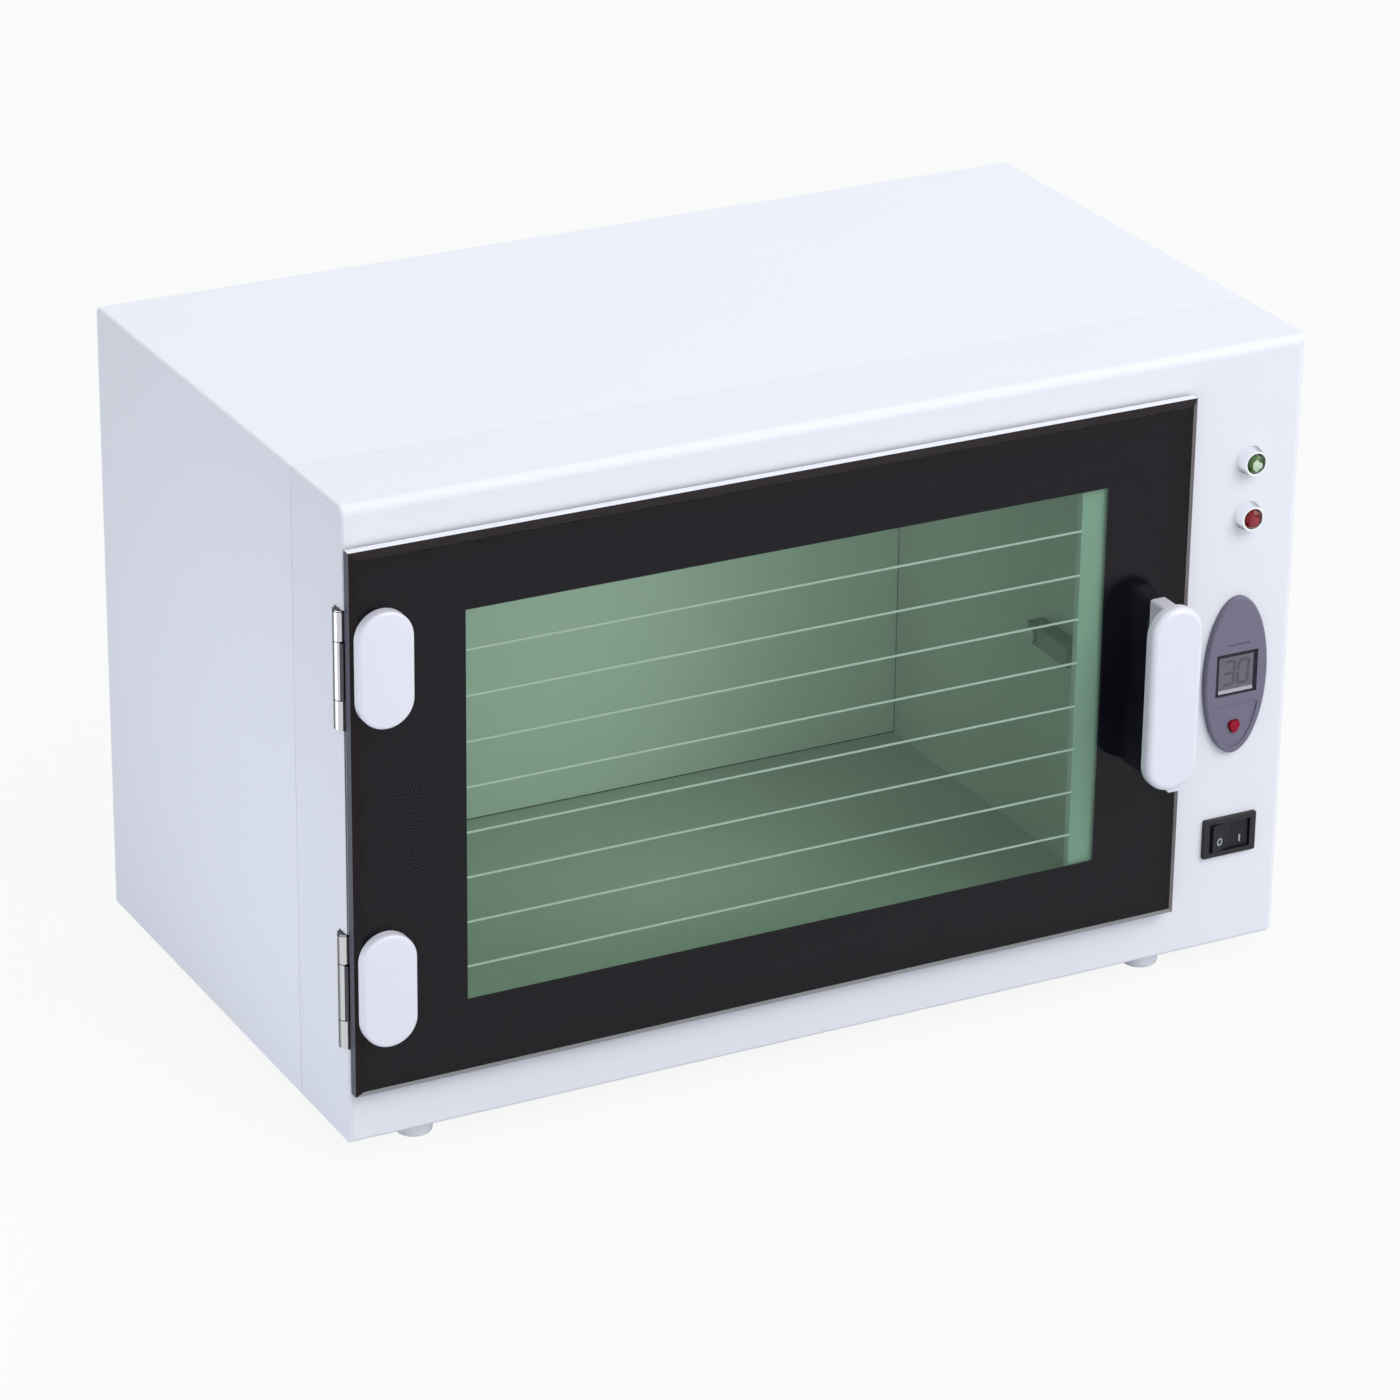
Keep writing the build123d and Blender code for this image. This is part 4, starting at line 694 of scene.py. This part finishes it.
@dataclass
class DoorPane:
    """Tinted pane with its black border and pale lines, which are printed on its back."""

    wardrobe: Wardrobe
    sink: float = 0.03 * MM
    margin: float = 1.5 * MM
    reach: float = 0.37 * MM
    upright: float = 0.1
    flat: float = 0.98
    facing: float = 0.7

    def build(self) -> None:
        """Copy the pane with its edges painted in light and shade, and sink both prints a little into its back, as
        keyed ink.
        """
        self.pane()
        self.ink("door_border", "border_ink", BLACK_INK, "black_print")
        self.ink("window_stripes", "stripe_ink", PALE_INK, "pale_print")

    def pane(self) -> None:
        """Pane whose side faces and bevels are painted by the way they face: painted light on the top side, painted
        shade on the right side and right bevel and on the left and bottom sides, a painted pale reflection on the
        bottom bevel, and black on the other bevels; its front and back stay clear.
        """
        piece = copied_node("door_glass", "glass_pane")
        self.wardrobe.fit(
            piece, "pane_glass", Body.DOOR, PANE_GLASS, TOP_EDGE_PAINTED_LIGHT, RIGHT_EDGE_PAINTED_SHADE, EDGE_PAINTED_SHADE, BEVEL_GLASS, BEVEL_PAINTED_REFLECTION
        )
        faces = FaceTable.read(piece.data)
        x, y, z = faces.normals.T
        side = np.abs(y) < self.upright
        bevel = ~side & (np.abs(y) < self.flat)
        # Edges painted by the way they face: painted light on top, painted shade on the right, left and bottom
        # sides, and a painted reflection on the bottom bevel
        faces.paint(piece.data, side & (z > self.facing), 1)
        faces.paint(piece.data, side & (x > self.facing), 2)
        faces.paint(piece.data, side & ((x < -self.facing) | (z < -self.facing)), 3)
        faces.paint(piece.data, bevel, 4)
        faces.paint(piece.data, bevel & (x > self.upright), 2)
        faces.paint(piece.data, bevel & (z < -self.upright), 5)
        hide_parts("door_glass")

    def ink(self, node: str, name: str, finish: Finish, slot: str) -> None:
        """Replace a packed film by a piece in a finish, whose front lies just inside the glass."""
        piece = copied_node(node, name)
        co = np.zeros(len(piece.data.vertices) * 3, np.float32)
        piece.data.vertices.foreach_get("co", co)
        points = co.reshape(-1, 3)
        front = points[:, 1].min()
        points[points[:, 1] < front + self.sink, 1] -= self.sink
        self.widen(points)
        piece.data.vertices.foreach_set("co", co)
        self.wardrobe.fit(piece, slot, Body.DOOR, finish)
        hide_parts(node)

    def widen(self, points: np.ndarray) -> None:
        """Draw a print's outer points out to the pane's edge, in place, so that no clear line stays round it."""
        low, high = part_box("door_glass")
        for axis in (0, 2):
            for edge, sign in ((low[axis], -1), (high[axis], 1)):
                outer = sign * (edge - points[:, axis]) < self.margin
                points[outer, axis] += sign * self.reach


@dataclass
class HingeCaps:
    """Moulded caps over the two door hinges."""

    wardrobe: Wardrobe
    height: float = 41.8 * MM
    side_round: float = 1.2 * MM
    crown: float = 0.25 * MM
    wall: float = 1.4 * MM
    pinhole: float = 0.001 * MM
    aside: float = 0.08 * MM
    drops: tuple[float, float] = (0.05 * MM, 0.40 * MM)

    def build(self) -> None:
        """Hollow caps: a wall, a round edge and a slightly crowned front, carried round a slot outline."""
        low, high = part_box("hinge_caps")
        width = high.x - low.x
        x = (low.x + high.x) / 2 + self.aside
        height = self.height
        turn = self.side_round
        front, back = low.y, high.y
        brim = front + self.crown
        middle = width / 2 - self.pinhole
        across = np.linspace(turn, middle, 10)[1:]
        rise = ((middle - across) / (middle - turn)) ** 2
        outer = [
            np.array([[0.0, back], [0.0, brim + turn]]),
            arc((turn, brim + turn), turn, 180, 270, steps=8),
            np.stack([across, front + self.crown * rise], axis=1),
        ]
        inner = np.array([[middle, front + self.wall], [self.wall, front + self.wall], [self.wall, back]])
        profile = np.concatenate(outer + [inner])
        outline = Outline.stadium(width, height, steps=32)
        centres = (low.z + height / 2 - self.drops[0], high.z - height / 2 - self.drops[1])
        stacks = [outline.rings(profile, x, z) for z in centres]
        piece = ring_piece("cap_shells", stacks, True, ROUND_ANGLE)
        self.wardrobe.fit(piece, "lilac_white", Body.DOOR, LILAC_WHITE)
        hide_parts("hinge_caps")


@dataclass
class Indicators:
    """Two pilot lamps."""

    wardrobe: Wardrobe
    facets: int = 8
    shaded_tilt: tuple[float, float] = (-120.0, 75.0)
    shaded_share: float = 0.65
    right_tilt: float = 50.0
    right_share: float = 0.3
    bright_tilt: float = 100.0
    bright_share: float = 0.75
    front_share: float = 0.1

    # Rings from the back: share of the radius, share of the depth, turn as a share of a facet
    RINGS = ((1.0, 1.0, 0.0), (1.0, 0.30, 0.0), (0.72, 0.10, 0.5), (0.34, 0.02, 0.0))

    def build(self) -> None:
        """Cut the two faceted lenses."""
        self.jewel("green_lens", "green_jewel", (GREEN_LENS, GREEN_PAINTED_HIGHLIGHT, GREEN_PAINTED_SHADE), "green_signal")
        self.jewel("red_lens", "red_jewel", (RED_LENS, RED_PAINTED_HIGHLIGHT, RED_PAINTED_SHADE), "red_signal")

    def jewel(self, node: str, name: str, finishes: tuple[Finish, Finish, Finish], slot: str) -> None:
        """Faceted lens: a straight rim, two rings of triangles about a turned polygon, and a small flat front.

        Its finishes are for its body, for the facets in painted highlight and for those in painted shade.
        """
        low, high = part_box(node)
        radius = (high.x - low.x) / 2
        x, z = (low.x + high.x) / 2, (low.z + high.z) / 2
        depth = high.y - low.y
        count = self.facets
        angle = 2 * math.pi / count
        turn = np.arange(count) * angle
        rings = [
            np.stack([x + share * radius * np.cos(turn + offset * angle),
                      np.full(count, low.y + depth * level),
                      z + share * radius * np.sin(turn + offset * angle)], axis=1)
            for share, level, offset in self.RINGS
        ]
        points = np.concatenate(rings)
        index = np.arange(4 * count).reshape(4, count)
        following = np.roll(index, -1, axis=1)
        faces = np.stack([index[0], following[0], following[1], index[1]], axis=1).tolist()
        for lower, upper, shift in ((1, 2, 0), (2, 3, -1)):
            near, beside = index[lower], following[lower]
            far, far_beside = np.roll(index[upper], shift), np.roll(following[upper], shift)
            faces += np.stack([near, beside, far], axis=1).tolist()
            faces += np.stack([beside, far_beside, far], axis=1).tolist()
        faces += [index[0].tolist(), index[3].tolist()]
        mesh = bpy.data.meshes.new(name)
        mesh.from_pydata(points.tolist(), [], faces)
        close_mesh(mesh, 0.0)
        piece = add_object(name, mesh)
        self.wardrobe.fit(piece, slot, Body.CABINET, *finishes)
        facets = FaceTable.read(piece.data)
        across = (facets.centres[:, 0] - x) / radius
        above = (facets.centres[:, 2] - z) / radius
        tilt = np.degrees(np.arctan2(above, across))
        share = np.hypot(across, above)
        first, last = self.shaded_tilt
        # Painted shade on the outer facets and on those at the right; a painted highlight on the inner facets at
        # the left and on the small front
        left = (np.abs(tilt) > self.bright_tilt) & (share < self.bright_share)
        facets.paint(piece.data, (tilt > first) & (tilt < last) & (share > self.shaded_share), 2)
        facets.paint(piece.data, (np.abs(tilt) < self.right_tilt) & (share > self.right_share), 2)
        facets.paint(piece.data, left | (share < self.front_share), 1)
        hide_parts(node)


@dataclass
class TimerDisplay:
    """Display in the grey oval."""

    wardrobe: Wardrobe
    digit_width: float = 4.2 * MM
    digit_height: float = 9.0 * MM
    stroke: float = 1.1 * MM
    digit_pitch: float = 6.0 * MM
    stroke_gap: float = 0.15 * MM
    digit_lift: float = 0.4 * MM
    relief: float = 0.06 * MM
    slant: float = 0.06
    corner: float = 0.25 * MM
    lip: float = 0.2 * MM
    lip_share: float = 0.35
    screen_gap: float = 0.05 * MM
    nose_share: float = 0.55
    sill_half: float = 0.75 * MM
    sill_step: float = 0.35 * MM
    sill_sink: float = 0.1 * MM
    sill_relief: float = 0.02 * MM

    SEGMENTS = {"3": "abcdg", "0": "abcdef"}

    def build(self) -> None:
        """Build the display's surround, sill and figures."""
        self.surround()
        self.figures("30")

    def surround(self) -> None:
        """Frame of the display: its inner sides slope back to the screen, and its lower side is a sill in painted
        light.
        """
        low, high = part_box("display_frame")
        screen_low, screen_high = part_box("display_screen")
        x, z = (low.x + high.x) / 2, (low.z + high.z) / 2
        width, height = high.x - low.x, high.z - low.z
        border = screen_low.x - low.x
        outline = Outline.box(width, height, self.corner, steps=2)
        front, back = low.y, high.y
        screen = screen_low.y
        profile = np.array([
            [0.0, back], [0.0, front + self.lip], [self.lip, front], [border * self.lip_share, front],
            [border, screen + self.screen_gap], [border, back],
        ])
        piece = ring_piece("display_surround", [outline.rings(profile, x, z)], True, PLAIN_ANGLE)
        self.wardrobe.fit(piece, "black_plastic", Body.CABINET, SURROUND_BLACK)
        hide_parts("display_frame")
        self.sill(x, screen_high.x - screen_low.x, screen_low.z, screen, front)

    def sill(self, x: float, width: float, base: float, screen: float, front: float) -> None:
        """Wedge in painted light along the screen's foot, pale where the lower inner side of the black surround
        catches the light; a bar whose section is a low triangle with a flat nose.

        Its middle lies at x and at its base's height. The depths are of the screen's and the surround's faces.
        """
        nose = screen - self.nose_share * (screen - front)
        foot, top = base - self.sill_half, base + self.sill_half
        section = np.array([
            [screen + self.sill_sink, foot], [nose, foot], [nose, base - self.sill_step],
            [screen - self.sill_relief, top], [screen + self.sill_sink, top],
        ])
        rings = prism(section, (x - width / 2, x + width / 2), 0)
        piece = ring_piece("display_sill", [rings], False, FINE_ANGLE)
        # Painted light on the sill
        self.wardrobe.fit(piece, "screen_grey", Body.CABINET, SILL_PAINTED_LIGHT)

    def figures(self, text: str) -> None:
        """Seven-stroke figures of a text on the screen, each stroke a long hexagon."""
        low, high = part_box("display_screen")
        middle = (low.x + high.x) / 2
        centre = (low.z + high.z) / 2 + self.digit_lift
        face = low.y
        half_w, half_h = self.digit_width / 2, self.digit_height / 2
        strokes = {
            "a": ((-half_w, half_h), (half_w, half_h)), "g": ((-half_w, 0.0), (half_w, 0.0)),
            "d": ((-half_w, -half_h), (half_w, -half_h)),
            "f": ((-half_w, 0.0), (-half_w, half_h)), "b": ((half_w, 0.0), (half_w, half_h)),
            "e": ((-half_w, -half_h), (-half_w, 0.0)), "c": ((half_w, -half_h), (half_w, 0.0)),
        }
        stacks = []
        for place, figure in enumerate(text):
            offset = (place - (len(text) - 1) / 2) * self.digit_pitch
            for key in self.SEGMENTS[figure]:
                start, end = (np.array(point) for point in strokes[key])
                stacks.append(self.stroke_rings(start, end, middle + offset, centre, face))
        piece = ring_piece("display_figures", stacks, False, FINE_ANGLE)
        self.wardrobe.fit(piece, "screen_grey", Body.CABINET, SEGMENT_DARK)

    def stroke_rings(self, start: np.ndarray, end: np.ndarray, x: float, z: float, face: float) -> np.ndarray:
        """Rings of one stroke, of shape (2, 6, 3): a hexagon just behind the screen's face, and one in front.

        Its start and end are measured from the figure's middle, which lies at x and z.
        """
        along = (end - start) / np.linalg.norm(end - start)
        across = np.array([-along[1], along[0]])
        half = self.stroke / 2
        first, last = start + along * self.stroke_gap, end - along * self.stroke_gap
        hexagon = np.array([
            first, first + along * half + across * half, last - along * half + across * half,
            last, last - along * half - across * half, first + along * half - across * half,
        ])
        flat = np.stack([hexagon[:, 0] + hexagon[:, 1] * self.slant + x, hexagon[:, 1] + z], axis=1)
        return prism(flat, (face + self.relief, face - self.relief), 1)


@dataclass
class SwitchMarks:
    """Pale marks for on and off on the black rocker."""

    wardrobe: Wardrobe
    slope: float = 7.0
    valley: float = 1.5 * MM
    mark_drop: float = 1.7 * MM
    mark_reach: float = 4.8 * MM
    bar_drop: float = 0.5 * MM
    ring_width: float = 2.6 * MM
    ring_height: float = 3.0 * MM
    bar_width: float = 0.7 * MM
    bar_corner: float = 0.2 * MM
    line: float = 0.6 * MM
    relief: float = 0.05 * MM

    def build(self) -> None:
        """A ring on the left half and a bar on the right half, each lying on its sloping face.

        The rocker's halves slope from a valley at the middle, and the whole rocker is turned by the same angle
        at rest. Each mark is made flat in front of the pivot, turned onto its half and turned again with it.
        """
        pivot = next(joint["pos_m"] for joint in frame["joints"] if joint["name"] == "rocker_tilt")
        face = -self.valley * math.cos(math.radians(self.slope))
        height = pivot[2] - self.mark_drop
        depths = (face - self.relief, face + self.relief)
        ring = Outline.stadium(self.ring_width, self.ring_height, steps=16)
        profile = np.array([[0.0, depths[1]], [0.0, depths[0]], [self.line, depths[0]], [self.line, depths[1]]])
        bar = Outline.box(self.bar_width, self.ring_height, self.bar_corner, steps=3)
        bar_profile = np.array([[0.0, depths[1]], [0.0, depths[0]]])
        parts = [
            ("mark_ring", ring, profile, True, -1, height),
            ("mark_bar", bar, bar_profile, False, 1, height - self.bar_drop),
        ]
        for name, outline, section, closed, side, level in parts:
            stack = outline.rings(section, side * self.mark_reach, level)
            piece = ring_piece(name, [stack], closed, PLAIN_ANGLE)
            turn = Matrix.Rotation(math.radians((1 - side) * self.slope), 4, "Z")
            piece.data.transform(Matrix.Translation((pivot[0], pivot[1], 0.0)) @ turn)
            self.wardrobe.fit(piece, "black_plastic", Body.ROCKER, MARK_PALE)


@dataclass
class Chamber:
    """White lining of the chamber and its joints."""

    wardrobe: Wardrobe
    liner_rise: float = 14.0 * MM
    seam_width: float = 0.45 * MM
    seam_relief: float = 0.03 * MM
    facing: float = 0.9

    def build(self) -> None:
        """Copy of the lining whose floor is painted a darker grey than its other walls, and whose right wall is
        painted a little darker than the white walls as painted shade.
        """
        piece = copied_node("chamber_liner", "lining")
        self.wardrobe.fit(piece, "liner_sheet", Body.CABINET, LINER_WHITE, LINER_FLOOR, RIGHT_WALL_PAINTED_SHADE)
        faces = FaceTable.read(piece.data)
        low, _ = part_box("chamber_liner")
        upward = faces.normals[:, 2] > self.facing
        bottom = faces.centres[:, 2] < low.z + self.liner_rise
        faces.paint(piece.data, upward & bottom, 1)
        # Painted shade on the right wall
        faces.paint(piece.data, (faces.normals[:, 0] < -self.facing) & (faces.centres[:, 0] > 0.0), 2)
        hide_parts("chamber_liner")
        self.seams(faces, faces.centres[upward & bottom, 2].max())

    def seams(self, faces: FaceTable, floor: float) -> None:
        """Dark joints of the lining, from its floor's height: up both rear corners, and along the back's foot."""
        back, left, right = (
            faces.widest(
                (side * faces.normals[:, axis] < -self.facing) & (side * faces.centres[:, axis] > 0.0)
            )[axis]
            for axis, side in ((1, 1), (0, -1), (0, 1))
        )
        low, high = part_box("chamber_liner")
        top = high.z - (floor - low.z)
        wide, relief = self.seam_width, self.seam_relief
        bars = (
            ((left - relief, back - wide, floor), (left + relief, back, top)),
            ((right - relief, back - wide, floor), (right + relief, back, top)),
            ((left, back - relief, floor), (right, back + relief, floor + wide)),
        )
        stacks = [
            prism(np.array([[x0, y0], [x1, y0], [x1, y1], [x0, y1]]), (z0, z1), 2)
            for (x0, y0, z0), (x1, y1, z1) in bars
        ]
        piece = ring_piece("lining_seams", stacks, False, FINE_ANGLE)
        self.wardrobe.fit(piece, "liner_sheet", Body.CABINET, SEAM_SHADE)


# Studio
@dataclass(frozen=True)
class Softbox:
    """Square area lamp that points at the cabinet, or at a part of it."""

    name: str
    place: Point
    side: float
    power: float
    colour: Colour = (1.0, 1.0, 1.0)
    target: Point = (0.0, 0.0, 0.12)
    spread: float = 180.0
    mirrored: bool = True

    def build(self) -> None:
        """Hang the lamp and turn it to its target; it isn't seen itself, and in gloss only where it's mirrored."""
        data = bpy.data.lights.new(self.name, "AREA")
        data.shape = "SQUARE"
        data.size = self.side
        data.energy = self.power
        data.color = self.colour
        data.spread = math.radians(self.spread)
        lamp = add_object(self.name, data)
        lamp.location = self.place
        aim = Vector(self.target) - Vector(self.place)
        lamp.rotation_euler = aim.to_track_quat("-Z", "Y").to_euler()
        lamp.visible_camera = False
        lamp.visible_glossy = self.mirrored
        lamp.visible_transmission = self.mirrored
        log.info("hung lamp %s", self.name)


LAMPS = (
    Softbox("key_softbox", place=(1.2, -1.9, 2.0), side=1.8, power=32.5),
    Softbox("top_softbox", place=(0.4, 0.5, 2.0), side=1.2, power=1.8),
    Softbox("fill_softbox", place=(-0.45, -0.05, 0.03), side=0.24, power=0.26, colour=(0.92, 0.96, 1.0),
            target=(-0.18, -0.05, 0.03)),
    Softbox("chamber_glow", place=(-0.02, -0.075, 0.12), side=0.1, power=0.045, target=(-0.02, 0.925, 0.12),
            spread=130.0, mirrored=False),
)


@dataclass(frozen=True)
class Viewpoint:
    """Camera at the photograph's place, given by its angles in degrees and its eye in metres."""

    azimuth: float = 27.831
    elevation: float = 24.009
    roll: float = -0.740
    lens: float = 145.38
    sensor: float = 36.0
    clip: tuple[float, float] = (0.05, 50.0)
    eye: Point = (-0.87235, -1.6492, 0.9295)

    def build(self) -> None:
        """Set up the camera: it looks along the azimuth and down by the elevation, then turns by the roll."""
        turn, fall, lean = (math.radians(value) for value in (self.azimuth, self.elevation, self.roll))
        forward = Vector((
            math.sin(turn) * math.cos(fall), math.cos(turn) * math.cos(fall), -math.sin(fall),
        ))
        right = forward.cross(Vector((0.0, 0.0, 1.0))).normalized()
        down = forward.cross(right)
        level = math.cos(lean) * right + math.sin(lean) * down
        below = math.cos(lean) * down - math.sin(lean) * right
        data = bpy.data.cameras.new("photo_view")
        data.lens = self.lens
        data.sensor_width = self.sensor
        data.sensor_fit = "HORIZONTAL"
        data.clip_start, data.clip_end = self.clip
        camera = add_object("photo_view", data)
        axes = Matrix((level, -below, -forward)).transposed().to_4x4()
        camera.matrix_world = Matrix.Translation(self.eye) @ axes
        bpy.context.scene.camera = camera


@dataclass
class Studio:
    """Pale floor, white surroundings and soft lamps."""

    floor_size: float = 8.0
    floor_colour: Colour = (0.61, 0.63, 0.67)
    sky_dim: Colour = (0.30, 0.34, 0.44)
    sky_bright: Colour = (0.90, 0.90, 0.915)
    sky_towards: Point = (0.36, -0.57, 0.74)
    white: Colour = (1.0, 1.0, 1.0)
    whiteness: float = 0.90

    def build(self) -> None:
        """Set up the stage, the world, the lamps and the camera."""
        self.floor()
        self.world()
        for lamp in LAMPS:
            lamp.build()
        Viewpoint().build()
        bpy.context.scene.view_settings.view_transform = "Standard"

    def seen_white(self, graph: Graph, share: float) -> bpy.types.NodeSocket:
        """Share for rays from the camera, off gloss or through glass, which show the background; 0 for others."""
        return graph.math("MULTIPLY", graph.rays("Is Camera Ray", "Is Glossy Ray", "Is Transmission Ray"), share)

    def floor(self) -> None:
        """Wide pale floor that is seen nearly white and keeps a soft shadow."""
        graph = Graph.begin("studio_floor")
        diffuse = graph.add("ShaderNodeBsdfDiffuse", Color=opaque(self.floor_colour))
        white = graph.add("ShaderNodeEmission", Color=opaque(self.white), Strength=1.0)
        share = self.seen_white(graph, self.whiteness)
        material = graph.finish(graph.mix(share, diffuse.outputs["BSDF"], white.outputs["Emission"]))
        half = self.floor_size / 2
        mesh = bpy.data.meshes.new("studio_floor")
        corners = [(-half, -half, 0.0), (half, -half, 0.0), (half, half, 0.0), (-half, half, 0.0)]
        mesh.from_pydata(corners, [], [(0, 1, 2, 3)])
        mesh.materials.append(material)
        add_object("studio_floor", mesh)

    def world(self) -> None:
        """Pale sky, brighter above and to the front right, that lights the cabinet, and plain white where seen."""
        world = bpy.data.worlds.new("studio_sky")
        bpy.context.scene.world = world
        graph = Graph(world)
        along = graph.add("ShaderNodeVectorMath")
        along.operation = "DOT_PRODUCT"
        graph.feed(along.inputs[0], graph.add("ShaderNodeTexCoord").outputs["Generated"])
        graph.feed(along.inputs[1], self.sky_towards)
        share = graph.ramp(along.outputs["Value"], -1.0, 1.0)
        sky = graph.add("ShaderNodeBackground", Color=graph.blend(share, self.sky_dim, self.sky_bright))
        white = graph.add("ShaderNodeBackground", Color=opaque(self.white), Strength=1.0)
        seen = graph.mix(self.seen_white(graph, 1.0), sky.outputs["Background"], white.outputs["Background"])
        graph.add("ShaderNodeOutputWorld", Surface=seen)


def main() -> None:
    """Build the cabinet's sub-assemblies in order and set up the studio round them."""
    logging.basicConfig(level=logging.INFO, format="%(name)s: %(message)s")
    wardrobe = Wardrobe()
    wardrobe.dress()
    for kind in (FrontFrame, Chamber, DoorPane, HingeCaps, Indicators, TimerDisplay, SwitchMarks):
        kind(wardrobe).build()
    Studio().build()


if __name__ == "__main__":
    main()
